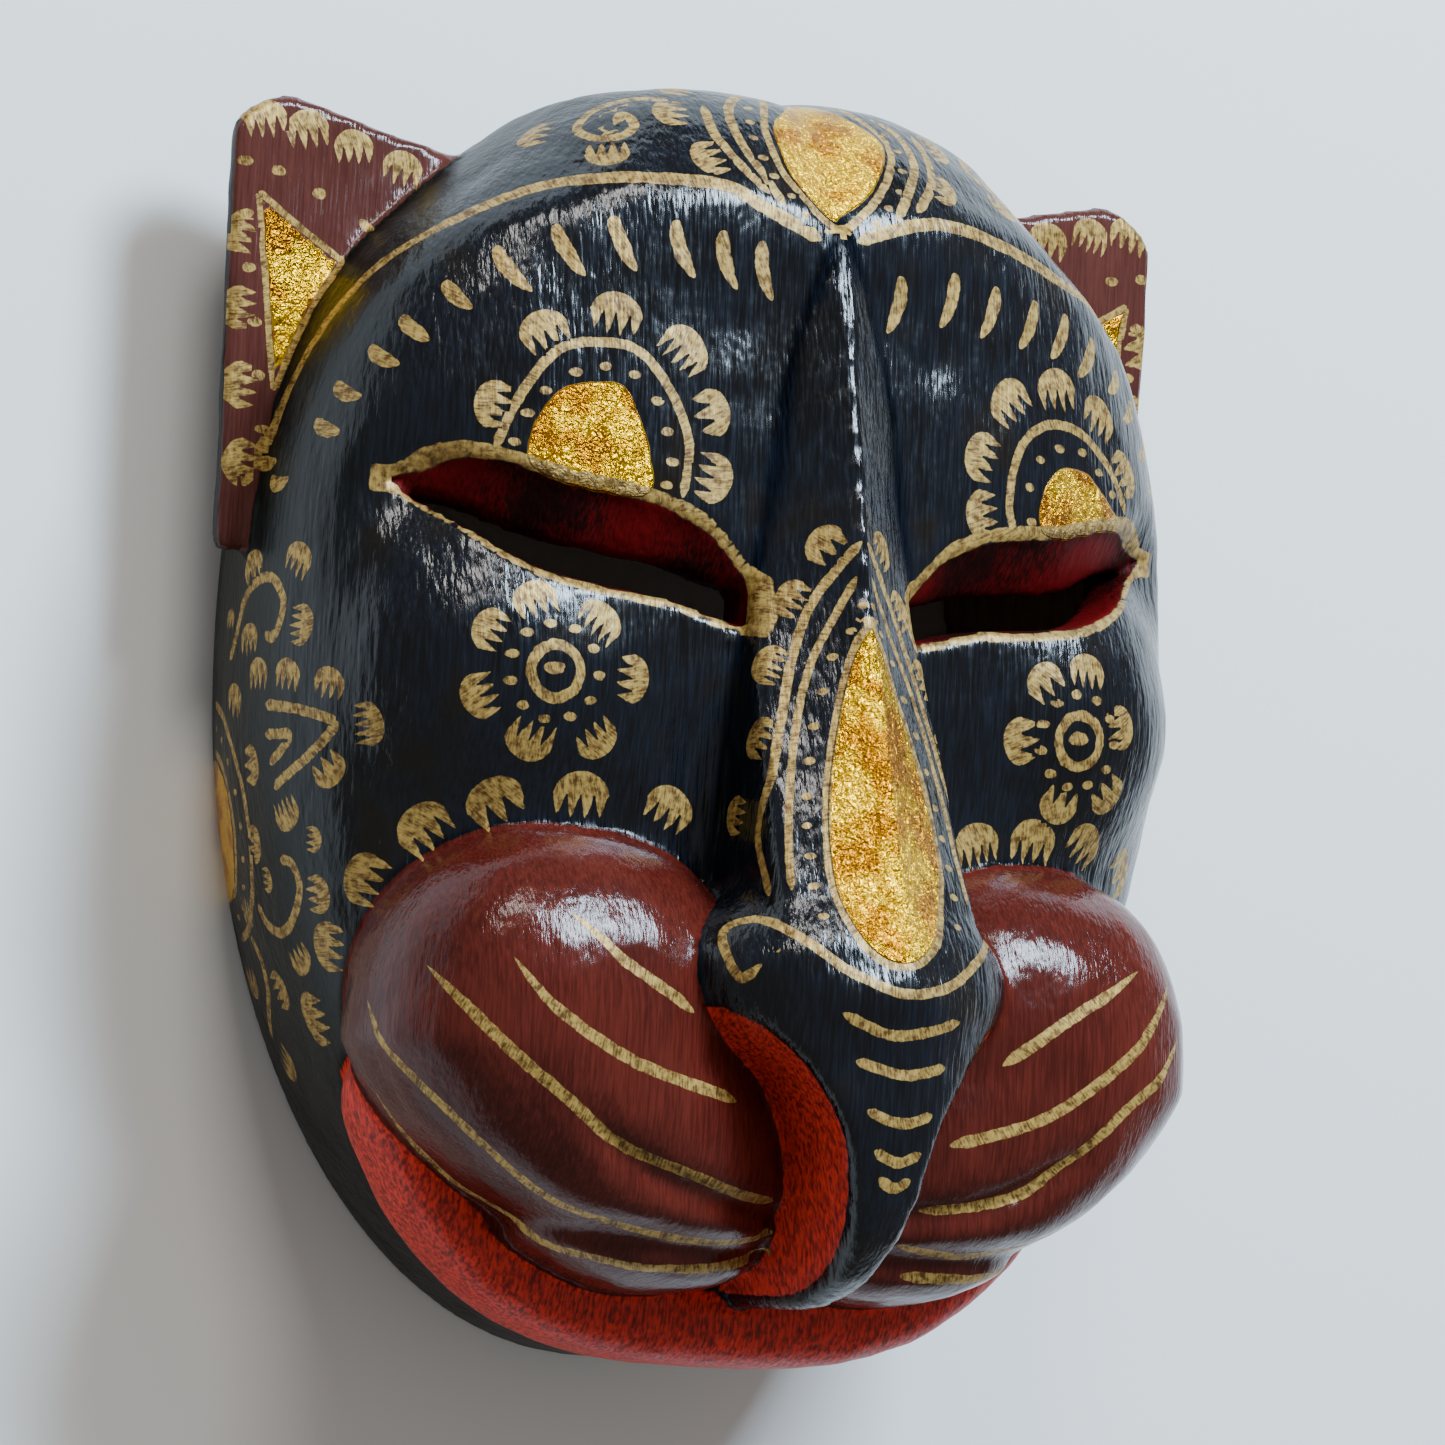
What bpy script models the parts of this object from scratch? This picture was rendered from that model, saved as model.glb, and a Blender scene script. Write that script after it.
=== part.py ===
"""Carved wooden cat mask, lying on its rim with the face up.

The mask is one block of wood. Its forms are fields: each function gives, at every point of a
grid, about how far that point lies outside the form (negative inside). Joining, meeting and
cutting the fields is the carver's adding and taking away. OpenVDB turns the finished field into
a mesh, Decimate thins it, and a flat cut makes the rim.

X runs across the face, Y from chin to crown, Z from the rim to the nose.
"""

import bmesh
import bpy
import numpy as np
import openvdb

# Driving sizes, in metres
MASK_HEIGHT = 0.220       # chin to crown before sanding; the free carving keeps its shares of this
WALL = 0.010              # wood left between the face and the hollow behind it
EYE_OPENING = 0.006       # clear height of the slit that the wearer looks through
EAR_THICKNESS = 0.019     # front to back at the root
EAR_EDGE = 0.003          # at the outer edge
LIP_THICKNESS = 0.022     # front to back of the red lip under the muzzle
CREASE_DEPTH = 0.0024     # folds carved into the muzzle pads
GRID_CELL = 0.0018        # spacing of the field that is turned into a mesh

TRIANGLES = 9400          # of the finished solid
SANDING = 3               # rounds of smoothing before the mesh is thinned

# The carver's unit: the positions and radii below are 220ths of the mask's height
UNIT = MASK_HEIGHT / 220

# Head, seen from the front, about a centre on the brow
HEAD_CENTRE = 10.0
HEAD_HALF_WIDTH = 86.0
HEAD_TOP = 107.5          # centre to crown
HEAD_BOTTOM = 120.0       # centre to chin
HEAD_SHOULDER = 32.0      # height of the greatest width above the rim
HEAD_FRONT = 74.0         # height of the flat of the face
CROWN_SQUARENESS = 2.35   # 2 is an ellipse in plan, more is squarer
CHIN_SQUARENESS = 2.0
FRONT_SQUARENESS = 2.6    # of the face seen from the side
BROW_SQUARENESS = 1.4     # what the middle of the brow adds to it
BROW_WIDTH = 34.0
BROW_FROM, BROW_FULL = 60.0, 90.0
RIM_TAPER_SIDE = 0.095    # the sides draw in towards the rim
RIM_TAPER_TOP = 0.11

# Edge between the face and the crown
BORDER_CENTRE = 20.0
BORDER_RISE = 70.0
BORDER_SQUARENESS = 2.6
BORDER_ROUNDING = 1.5
PEAK_DEPTH = 9.0          # dip of the edge at the middle of the brow
PEAK_WIDTH = 14.0
PEAK_FROM, PEAK_FULL = 50.0, 70.0
CROWN_FALL = 0.42         # slope of the crown behind the edge, at the middle
CORNER_FALL = 0.9         # and what it gains towards the ears
CORNER_FROM, CORNER_FULL = 34.0, 66.0

# Nose, as (position along Y, value)
NOSE_RIDGE = ((-120, 106.5), (-60, 106.5), (-41, 105.4), (15, 88), (29, 84.5), (84, 71.5))
NOSE_HALF_WIDTH = ((-50, 19), (-16, 17.5), (1, 16.5), (20, 14.5), (39, 12), (59, 8.5), (86, 0))
NOSE_SLOPE = ((-30, 0.42), (0, 0.62), (29, 0.75), (59, 0.5), (84, 0.35))
NOSE_FLARE = 0.06         # the nose's sides spread towards the face
NOSE_ENDS = (-46.0, 84.0)
NOSE_EDGE = 1.2           # rounding of the edges along it
WING_CENTRE = (0.0, -45.0, 84.0)
WING_RADII = (30.0, 17.0, 21.0)
WING_FILLET = 3.0

# Beak, a narrow fin that turns back to the lip
BEAK_HALF_WIDTH = ((-99, 2.5), (-91, 4), (-81, 6), (-70, 8.8), (-61, 14), (-54, 19.8), (-44, 25))
BEAK_END = -100.0
BEAK_CURL = 34.0
BEAK_CROWN = 0.02
BEAK_EDGE = 2.0

# Muzzle pads
PAD_CENTRE = (44.0, -59.5, 62.5)
PAD_RADII = (33.0, 37.5, 27.5)
PAD_SQUARENESS = 2.5
PAD_LEAN = 0.62           # the lower half leans towards the beak
PAD_ROOT_CENTRE = (23.0, -72.0, 61.0)
PAD_ROOT_RADII = (21.0, 24.0, 20.0)
PAD_ROOT_FILLET = 9.0
CREASES = (
    ((53, -66), (42, -75), (28, -81), (7, -84.5)),
    ((69, -73), (50, -86), (27, -90), (7, -90)),
)
CREASE_HALF_WIDTH = 2.6
CREASE_RUN_OUT = 0.35     # share of its length over which a fold gets to its depth

# Red lip under the muzzle
LIP_HALF_WIDTH = 80.0
LIP_BOTTOM = 120.5
LIP_SQUARENESS = 2.8
LIP_MIDDLE = 45.0         # height of the lip's middle above the rim
LIP_END = -58.0
LIP_EDGE = 9.0
LIP_RUN_OUT = 16.0

# Cheek mound and the dent at the eye's outer corner
CHEEK_CENTRE = (50.0, 3.0, 55.0)
CHEEK_RADII = (27.0, 23.0, 19.0)
DENT_CENTRE = (80.0, 33.0, 66.0)
DENT_RADII = (15.0, 9.0, 12.0)
CHEEK_FILLET = 9.0
DENT_FILLET = 6.0

# Eye slits, as (position along X, value)
EYE_UPPER = ((14, 20), (21, 27), (27, 30.5), (36, 33), (47, 34.5), (58, 37), (65, 38), (70, 37), (74, 33.5))
EYE_LOWER = ((14, 13.5), (20, 14.5), (30, 17), (45, 18.7), (54, 20.5), (62, 24.5), (69, 30), (74, 33.5))
EYE_SURFACE = ((14, 74), (45, 69), (55, 66), (63, 62), (70, 57), (74, 52))
EYE_REACH = ((10, 14), (60, 13), (68, 9), (74, 6))
EYE_ENDS = (15.5, 60.0)   # of the opening that goes through
EYE_CORNER = 74.0         # where the cut ends in a point
EYE_ROOF_SLOPE = 1.7
EYE_EDGE = 0.8

# Ears: corners of the plate in order, and the height of its back
EAR_OUTLINE = ((38, 91), (84, 101), (92.5, 95), (91, 21), (60, 30))
EAR_BACK = 6.0
EAR_BACK_SLOPE = 0.9      # the back falls away from the edge
EAR_CORNER = 3.0
EAR_RIM = 1.5

# Fillets where the forms meet, in the order in which they are joined
LIP_FILLET = 1.5
MUZZLE_FILLET = 1.8
EAR_FILLET = 3.0
NOSE_FILLET = 1.5
HOLLOW_FILLET = 3.0

# The room that the field covers, past the carving on every side
ROOM = ((-100, 100), (-118, 120), (-12, 114))

LACQUER = (0.012, 0.014, 0.020, 1.0)
LACQUER_ROUGHNESS = 0.28


def clear_scene():
    for thing in list(bpy.data.objects):
        bpy.data.objects.remove(thing, do_unlink=True)


def curve(points):
    """Points of a smooth line through the given ones."""
    given = np.array(points, float)
    last = len(given) - 1
    place = np.linspace(0, last, 16 * last + 1)
    first = np.clip(place.astype(int), 0, last - 1)
    t = (place - first)[:, None]
    start, end = given[first], given[first + 1]
    before, after = given[np.maximum(first - 1, 0)], given[np.minimum(first + 2, last)]
    return (start + 0.5 * t * (end - before)
            + t ** 2 * (before - 2.5 * start + 2 * end - 0.5 * after)
            + t ** 3 * (1.5 * (start - end) + 0.5 * (after - before)))


def along(points, place):
    """The second coordinate of a smooth line where its first is place."""
    path = curve(points)
    return np.interp(place, path[:, 0], path[:, 1])


def rise(value, low, high):
    """0 below low and 1 above high, with a soft step between."""
    t = np.clip((value - low) / (high - low), 0, 1)
    return t * t * (3 - 2 * t)


def join(a, b, radius):
    """Both forms, with a fillet of about the radius where they meet."""
    h = np.clip(0.5 + 0.5 * (b - a) / radius, 0, 1)
    return b + (a - b) * h - radius * h * (1 - h)


def meet(a, b, radius):
    """What lies in both forms."""
    return -join(-a, -b, radius)


def cut(a, b, radius):
    """The first form without the second."""
    return meet(a, -b, radius)


def as_distance(field):
    """The field divided by its own slope, which makes it a distance near the surface."""
    cell = GRID_CELL / UNIT
    slopes = np.gradient(field, cell)
    return field / np.sqrt(sum(slope ** 2 for slope in slopes) + 1e-6)


def ellipsoid(x, y, z, centre, radii, power=2.0):
    parts = [(np.abs(value - middle) / radius) ** power
             for value, middle, radius in zip((x, y, z), centre, radii)]
    return as_distance(sum(parts) ** (1 / power) - 1)


def distance_to_curve(x, y, points):
    """Distance in plan to a smooth line, and how far along it the nearest point is, 0 to 1."""
    path = curve(points)
    nearest = np.full(np.broadcast(x, y).shape, 1e3)
    share = np.zeros_like(nearest)
    for number, (start, end) in enumerate(zip(path, path[1:])):
        run = end - start
        t = np.clip(((x - start[0]) * run[0] + (y - start[1]) * run[1]) / (run @ run), 0, 1)
        gap = np.hypot(x - start[0] - t * run[0], y - start[1] - t * run[1])
        closer = gap < nearest
        nearest = np.where(closer, gap, nearest)
        share = np.where(closer, (number + t) / (len(path) - 1), share)
    return nearest, share


def rounded_sum(a, b, squareness):
    """How far out a point lies on a rounded square: 1 on its edge."""
    return (a ** squareness + b ** squareness) ** (1 / squareness)


def past_border(x, y):
    """How far a point lies behind the edge between face and crown."""
    above = np.maximum(y - BORDER_CENTRE, 0)
    reach = rounded_sum(x / HEAD_HALF_WIDTH, above / BORDER_RISE, BORDER_SQUARENESS)
    peak = PEAK_DEPTH * np.exp(-x / PEAK_WIDTH) * rise(y, PEAK_FROM, PEAK_FULL)
    return (reach - 1) * BORDER_RISE + peak


def head(x, y, z):
    """The head without features: an egg in plan, domed in front, drawn in at the rim."""
    upper = y > HEAD_CENTRE
    across = x / HEAD_HALF_WIDTH
    up = np.abs(y - HEAD_CENTRE) / np.where(upper, HEAD_TOP, HEAD_BOTTOM)
    girth = rounded_sum(across, up, np.where(upper, CROWN_SQUARENESS, CHIN_SQUARENESS)) + 1e-6
    sideways = (across / girth) ** 2
    low = np.clip(1 - z / HEAD_SHOULDER, 0, None)
    taper = RIM_TAPER_SIDE * sideways + RIM_TAPER_TOP * upper * (1 - sideways)
    girth = girth * (1 + taper * low ** 2)
    high = np.clip((z - HEAD_SHOULDER) / (HEAD_FRONT - HEAD_SHOULDER), 0, None)
    brow = np.exp(-(x / BROW_WIDTH) ** 2) * rise(y, BROW_FROM, BROW_FULL)
    dome = as_distance(rounded_sum(girth, high, FRONT_SQUARENESS + BROW_SQUARENESS * brow) - 1)
    behind = past_border(x, y)
    fall = CROWN_FALL + CORNER_FALL * rise(x, CORNER_FROM, CORNER_FULL)
    return dome + fall * (behind + np.hypot(behind, BORDER_ROUNDING)) / 2


def nose(x, y, z):
    """A long wedge from the brow, wings at its foot, and the beak."""
    ridge = along(NOSE_RIDGE, y)
    slope = along(NOSE_SLOPE, y)
    front = (z - ridge + slope * x) / np.hypot(1, slope)
    side = x - along(NOSE_HALF_WIDTH, y) - NOSE_FLARE * (ridge - z)
    ends = np.maximum(NOSE_ENDS[0] - y, y - NOSE_ENDS[1])
    wedge = meet(meet(front, side, NOSE_EDGE), ends, WING_FILLET)
    wings = ellipsoid(x, y, z, WING_CENTRE, WING_RADII)
    spread = along(BEAK_HALF_WIDTH, y)
    fin = meet(z - ridge + BEAK_CROWN * x ** 2, BEAK_END - y, BEAK_CURL)
    beak = meet(meet(fin, x - spread, BEAK_EDGE), y - WING_CENTRE[1], WING_FILLET)
    return join(join(wedge, wings, WING_FILLET), beak, WING_FILLET)


def pads(x, y, z):
    """The swollen lobe of the muzzle, with its carved folds."""
    lean = PAD_LEAN * np.minimum(y - PAD_CENTRE[1], 0)
    lobe = ellipsoid(x - lean, y, z, PAD_CENTRE, PAD_RADII, PAD_SQUARENESS)
    lobe = join(lobe, ellipsoid(x, y, z, PAD_ROOT_CENTRE, PAD_ROOT_RADII), PAD_ROOT_FILLET)
    for fold in CREASES:
        gap, share = distance_to_curve(x, y, fold)
        depth = CREASE_DEPTH / UNIT * rise(share, 0, CREASE_RUN_OUT)
        lobe = lobe + depth * np.exp(-(gap / CREASE_HALF_WIDTH) ** 2)
    return lobe


def lip(x, y, z):
    below = np.abs(y - HEAD_CENTRE)
    reach = rounded_sum(x / LIP_HALF_WIDTH, below / LIP_BOTTOM, LIP_SQUARENESS)
    outline = as_distance(reach - 1 + 0 * z)
    slab = np.abs(z - LIP_MIDDLE) - LIP_THICKNESS / UNIT / 2
    return meet(meet(outline, slab, LIP_EDGE), y - LIP_END, LIP_RUN_OUT)


def ear(x, y, z):
    """A flat plate with three corners, rounded at its tip."""
    corners = np.array(EAR_OUTLINE, float)
    plate = None
    for start, end in zip(corners, np.roll(corners, -1, axis=0)):
        run = (end - start) / np.hypot(*(end - start))
        outside = (y - start[1]) * run[0] - (x - start[0]) * run[1]
        plate = outside if plate is None else meet(plate, outside, EAR_CORNER)
    front = EAR_BACK + EAR_THICKNESS / UNIT
    back = front - EAR_EDGE / UNIT + EAR_BACK_SLOPE * plate
    slab = np.maximum(z - front, np.maximum(back, EAR_BACK) - z)
    return meet(plate, slab, EAR_RIM)


def eye_slit(x, y, z):
    """The cut of the eye: its roof slopes down to a low opening right through the wood."""
    depth = np.clip(along(EYE_SURFACE, x) - z, 0, None)
    floor = along(EYE_LOWER, x)
    clear = EYE_OPENING / UNIT * (1 - rise(x, EYE_ENDS[1], EYE_CORNER))
    roof = np.maximum(along(EYE_UPPER, x) - EYE_ROOF_SLOPE * depth, floor + clear)
    slit = meet(y - roof, floor - y, EYE_EDGE)
    slit = meet(slit, EYE_ENDS[0] - x, EYE_EDGE)
    groove = meet(slit, depth - along(EYE_REACH, x), EYE_EDGE)
    return np.minimum(groove, meet(slit, x - EYE_ENDS[1], EYE_EDGE))


def mask_field(x, y, z):
    x = np.abs(x)
    shell = join(head(x, y, z), ellipsoid(x, y, z, CHEEK_CENTRE, CHEEK_RADII), CHEEK_FILLET)
    shell = cut(shell, ellipsoid(x, y, z, DENT_CENTRE, DENT_RADII), DENT_FILLET)
    hollow = shell + WALL / UNIT
    muzzle = join(pads(x, y, z), lip(x, y, z), LIP_FILLET)
    block = join(join(shell, muzzle, MUZZLE_FILLET), ear(x, y, z), EAR_FILLET)
    block = join(block, nose(x, y, z), NOSE_FILLET)
    return cut(cut(block, hollow, HOLLOW_FILLET), eye_slit(x, y, z), EYE_EDGE)


def polygonise(field_of, room, cell):
    """Vertices, in units, and faces of the surface where the field is zero."""
    axes = [np.arange(low, high + cell, cell) for low, high in room]
    x, y, z = np.meshgrid(*axes, indexing="ij", sparse=True)
    field = field_of(x, y, z) / cell
    grid = openvdb.FloatGrid(background=3.0)
    grid.gridClass = openvdb.GridClass.LEVEL_SET
    grid.copyFromArray(np.clip(field, -3, 3).astype(np.float32))
    points, quads = grid.convertToQuads(isovalue=0.0)
    return points * cell + [low for low, high in room], quads


def thinned(mesh):
    """The mesh a little smoothed, with about TRIANGLES faces, alike on both sides."""
    source = bpy.data.objects.new("rough", mesh)
    bpy.context.scene.collection.objects.link(source)
    smooth = source.modifiers.new("Sand", "SMOOTH")
    smooth.factor = 0.5
    smooth.iterations = SANDING
    decimate = source.modifiers.new("Thin", "DECIMATE")
    decimate.ratio = TRIANGLES / (2 * len(mesh.polygons))
    decimate.use_symmetry = True
    decimate.symmetry_axis = "X"
    graph = bpy.context.evaluated_depsgraph_get()
    result = bpy.data.meshes.new_from_object(source.evaluated_get(graph))
    bpy.data.objects.remove(source)
    return result


def cut_at_rim(mesh):
    """Cuts the mesh off flat at the rim plane and closes the cut."""
    solid = bmesh.new()
    solid.from_mesh(mesh)
    everything = solid.verts[:] + solid.edges[:] + solid.faces[:]
    found = bmesh.ops.bisect_plane(solid, geom=everything, dist=1e-6, plane_co=(0, 0, 0),
                                   plane_no=(0, 0, 1), clear_inner=True)
    rim = [item for item in found["geom_cut"] if isinstance(item, bmesh.types.BMEdge)]
    bmesh.ops.triangle_fill(solid, use_beauty=True, use_dissolve=False, edges=rim)
    bmesh.ops.triangulate(solid, faces=solid.faces[:])
    bmesh.ops.recalc_face_normals(solid, faces=solid.faces[:])
    solid.to_mesh(mesh)
    solid.free()


def lacquer():
    material = bpy.data.materials.new("black lacquer")
    material.use_nodes = True
    shader = material.node_tree.nodes["Principled BSDF"]
    shader.inputs["Base Color"].default_value = LACQUER
    shader.inputs["Roughness"].default_value = LACQUER_ROUGHNESS
    shader.inputs["Metallic"].default_value = 0.0
    material.diffuse_color = LACQUER
    return material


def build_mask():
    points, quads = polygonise(mask_field, ROOM, GRID_CELL / UNIT)
    points[:, 1] -= (points[:, 1].min() + points[:, 1].max()) / 2
    mesh = bpy.data.meshes.new("rough")
    mesh.from_pydata(points * UNIT, [], quads)
    mesh = thinned(mesh)
    cut_at_rim(mesh)
    mesh.name = "mask"
    mesh.materials.append(lacquer())
    mesh.shade_smooth()
    mesh.set_sharp_from_angle(angle=np.radians(40))
    mask = bpy.data.objects.new("mask", mesh)
    bpy.context.scene.collection.objects.link(mask)
    return mask


clear_scene()
build_mask()
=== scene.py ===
# %% [markdown]
# # Carved cat mask with batik painting
# The real mask is one block of light wood. It is carved hollow from behind, lacquered black and
# painted in the way of batik cloth, with gold strokes, combs, dots and patches of gold leaf.
# The carving is made here as a field: numbers on a grid that say how far each point lies outside
# the wood. The painting is drawn by the shader from data that the script lays on the mesh, so
# that every stroke stays sharp however close the camera comes.

# %% Frame and scale
from itertools import combinations

import bpy
import numpy as np
import openvdb
from mathutils import Matrix, Vector, noise
from mathutils.bvhtree import BVHTree


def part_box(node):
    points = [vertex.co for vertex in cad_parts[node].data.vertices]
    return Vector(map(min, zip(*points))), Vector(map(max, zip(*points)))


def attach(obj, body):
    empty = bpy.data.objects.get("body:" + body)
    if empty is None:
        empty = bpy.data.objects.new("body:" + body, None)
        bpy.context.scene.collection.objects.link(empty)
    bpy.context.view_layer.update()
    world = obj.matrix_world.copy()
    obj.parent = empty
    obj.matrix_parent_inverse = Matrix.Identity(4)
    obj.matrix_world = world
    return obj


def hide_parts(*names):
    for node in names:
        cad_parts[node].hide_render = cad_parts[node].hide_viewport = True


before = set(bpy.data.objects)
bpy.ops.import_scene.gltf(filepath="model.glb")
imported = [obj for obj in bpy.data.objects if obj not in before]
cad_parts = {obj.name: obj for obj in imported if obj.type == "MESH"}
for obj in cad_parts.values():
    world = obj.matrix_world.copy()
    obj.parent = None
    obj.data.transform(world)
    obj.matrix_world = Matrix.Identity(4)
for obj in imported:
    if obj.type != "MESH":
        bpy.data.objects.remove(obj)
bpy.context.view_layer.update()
mask_low, mask_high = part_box("mask")
UNITS_HIGH = 218.2        # chin to crown in the carver's unit, in which all sizes below are given
UNIT = (mask_high.y - mask_low.y) / UNITS_HIGH
print(f"one unit is {UNIT * 1000:.3f} mm, the mask is {(mask_high.y - mask_low.y) * 1000:.0f} mm tall")

# %% [markdown]
# ## Tools for carving with fields
# Each form is a function that is negative inside the form and positive outside it. The lower of
# two fields joins the forms and the higher keeps what they share. A soft minimum leaves a fillet
# where they meet, as a gouge does. Meshes with boolean cuts could do this too, but they leave
# sharp seams, and the real mask has none.

# %% Curves and soft steps
CELL = 1.41               # spacing of the grid, in units


def curve(points):
    """Points of a smooth line through the given ones."""
    given = np.array(points, float)
    last = len(given) - 1
    place = np.linspace(0, last, 16 * last + 1)
    first = np.clip(place.astype(int), 0, last - 1)
    t = (place - first)[:, None]
    start, end = given[first], given[first + 1]
    before, after = given[np.maximum(first - 1, 0)], given[np.minimum(first + 2, last)]
    return (start + 0.5 * t * (end - before)
            + t ** 2 * (before - 2.5 * start + 2 * end - 0.5 * after)
            + t ** 3 * (1.5 * (start - end) + 0.5 * (after - before)))


def along(points, place):
    """The second coordinate of a smooth line where its first is place."""
    path = curve(points)
    return np.interp(place, path[:, 0], path[:, 1])


def rise(value, low, high):
    """0 below low and 1 above high, with a soft step between."""
    t = np.clip((value - low) / (high - low), 0, 1)
    return t * t * (3 - 2 * t)


print("a soft step, half way:", rise(0.5, 0, 1))

# %% Joining and cutting


def join(a, b, radius):
    """Both forms, with a fillet of about the radius where they meet."""
    h = np.clip(0.5 + 0.5 * (b - a) / radius, 0, 1)
    return b + (a - b) * h - radius * h * (1 - h)


def meet(a, b, radius):
    """What lies in both forms."""
    return -join(-a, -b, radius)


def cut(a, b, radius):
    """The first form without the second."""
    return meet(a, -b, radius)


def as_distance(field):
    """The field divided by its own slope, which makes it a distance near the surface."""
    slopes = np.gradient(field, CELL)
    return field / np.sqrt(sum(slope ** 2 for slope in slopes) + 1e-6)


def rounded_sum(a, b, squareness):
    """How far out a point lies on a rounded square: 1 on its edge."""
    return (a ** squareness + b ** squareness) ** (1 / squareness)


def ellipsoid(centre, radii, power=2.0, lean=0.0):
    """A ball with three radii. lean pushes its lower half sideways, towards the middle."""
    shifted = x - lean * np.minimum(y - centre[1], 0)
    parts = [(np.abs(value - middle) / radius) ** power
             for value, middle, radius in zip((shifted, y, z), centre, radii)]
    return as_distance(sum(parts) ** (1 / power) - 1)


def distance_to_path(x, y, path):
    """Distance in plan to a line, and how far along it the nearest point is, 0 to 1."""
    nearest = np.full(np.broadcast(x, y).shape, 1e3)
    share = np.zeros_like(nearest)
    for number, (start, end) in enumerate(zip(path, path[1:])):
        run = end - start
        t = np.clip(((x - start[0]) * run[0] + (y - start[1]) * run[1]) / (run @ run + 1e-9), 0, 1)
        gap = np.hypot(x - start[0] - t * run[0], y - start[1] - t * run[1])
        closer = gap < nearest
        nearest = np.where(closer, gap, nearest)
        share = np.where(closer, (number + t) / (len(path) - 1), share)
    return nearest, share


print("two forms 4 apart, joined with a fillet of 4:", join(1.0, 1.0, 4))

# %% [markdown]
# ## The grid
# X runs across the face, Y from the chin to the crown and Z from the rim to the nose. The mask is
# alike on both sides, so only the right half is worked out and then mirrored. The rim plane falls
# half way between two layers of the grid, which makes the cut there flat.

# %% Grid of the right half
x_axis = np.arange(0, 98, CELL)
y_axis = np.arange(-124, 114, CELL)
z_axis = np.arange(-2.5 * CELL, 112, CELL)
x, y, z = np.meshgrid(x_axis, y_axis, z_axis, indexing="ij", sparse=True)
print("grid of", len(x_axis), "by", len(y_axis), "by", len(z_axis), "points")

# %% [markdown]
# ## Head
# The head is an egg in plan, flat in front and drawn in towards the rim. A ridge runs from ear to
# ear over the brow, with a small dip in its middle, and the crown falls away behind it.

# %% Head and crown
HEAD_CENTRE = 10.0
HEAD_HALF_WIDTH = 86.0
HEAD_TOP = 107.5
HEAD_BOTTOM = 120.0
HEAD_SHOULDER = 32.0      # height of the greatest width
HEAD_FRONT = 74.0         # height of the flat of the face
CROWN_SQUARENESS = 2.35   # 2 is an ellipse in plan, more is squarer
CHIN_SQUARENESS = 2.0
FRONT_SQUARENESS = 2.6    # of the face seen from the side
BROW_SQUARENESS = 1.4     # what the middle of the brow adds to it
RIM_TAPER_SIDE = 0.095    # the sides draw in towards the rim
RIM_TAPER_TOP = 0.11
BORDER_CENTRE = 20.0
BORDER_RISE = 70.0
BORDER_SQUARENESS = 2.6
BORDER_ROUNDING = 1.5
PEAK_DEPTH = 9.0          # dip of the ridge at the middle of the brow
PEAK_WIDTH = 14.0
CROWN_FALL = 0.42         # slope of the crown behind the ridge, at the middle
CORNER_FALL = 0.9         # and what it gains towards the ears
WALL = 10.0               # wood left in front of the hollow


def past_border():
    """How far a point lies behind the ridge between face and crown."""
    above = np.maximum(y - BORDER_CENTRE, 0)
    reach = rounded_sum(x / HEAD_HALF_WIDTH, above / BORDER_RISE, BORDER_SQUARENESS)
    peak = PEAK_DEPTH * np.exp(-x / PEAK_WIDTH) * rise(y, 50, 70)
    return (reach - 1) * BORDER_RISE + peak


def head():
    upper = y > HEAD_CENTRE
    across = x / HEAD_HALF_WIDTH
    up = np.abs(y - HEAD_CENTRE) / np.where(upper, HEAD_TOP, HEAD_BOTTOM)
    girth = rounded_sum(across, up, np.where(upper, CROWN_SQUARENESS, CHIN_SQUARENESS)) + 1e-6
    sideways = (across / girth) ** 2
    low = np.clip(1 - z / HEAD_SHOULDER, 0, None)
    taper = RIM_TAPER_SIDE * sideways + RIM_TAPER_TOP * upper * (1 - sideways)
    girth = girth * (1 + taper * low ** 2)
    high = np.clip((z - HEAD_SHOULDER) / (HEAD_FRONT - HEAD_SHOULDER), 0, None)
    squareness = FRONT_SQUARENESS + BROW_SQUARENESS * np.exp(-(x / 34) ** 2) * rise(y, 60, 90)
    dome = as_distance(rounded_sum(girth, high, squareness) - 1)
    behind = past_border()
    fall = CROWN_FALL + CORNER_FALL * rise(x, 34, 66)
    return dome + fall * 0.5 * (behind + np.hypot(behind, BORDER_ROUNDING))


cheek = ellipsoid((50, 3, 55), (27, 23, 19))
dent = ellipsoid((80, 33, 66), (15, 9, 12))
shell = cut(join(head(), cheek, 9), dent, 6)
hollow = shell + WALL
print("wood in the right half of the head's box:", f"{(shell < 0).mean():.0%}")

# %% [markdown]
# ## Nose and beak
# The nose is a long wedge. It starts as a point between the brows and gets wider and higher down
# to two round wings, and from them a narrow beak curls back to the lip.

# %% Nose
RIDGE = ((-120, 106.5), (-60, 106.5), (-41, 105.4), (15, 88), (29, 84.5), (84, 71.5))
NOSE_HALF_WIDTH = ((-50, 19), (-16, 17.5), (1, 16.5), (20, 14.5), (39, 12), (59, 8.5), (86, 0))
NOSE_SLOPE = ((-30, 0.42), (0, 0.62), (29, 0.75), (59, 0.5), (84, 0.35))
BEAK_HALF_WIDTH = ((-99, 2.5), (-91, 4), (-81, 6), (-70, 8.8), (-61, 14), (-54, 19.8), (-44, 25))
NOSE_SLANT = 0.85         # about the cosine of the front's slope, which makes its field a distance
NOSE_FLARE = 0.06         # the sides spread towards the face
NOSE_ENDS = (-46, 84)
NOSE_EDGE = 1.2
WING_CENTRE = (0, -45.0, 84)
WING_RADII = (30, 17, 21)
WING_FILLET = 3
BEAK_END = -100
BEAK_CURL = 34
BEAK_CROWN = 0.02
BEAK_EDGE = 1.5


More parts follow.
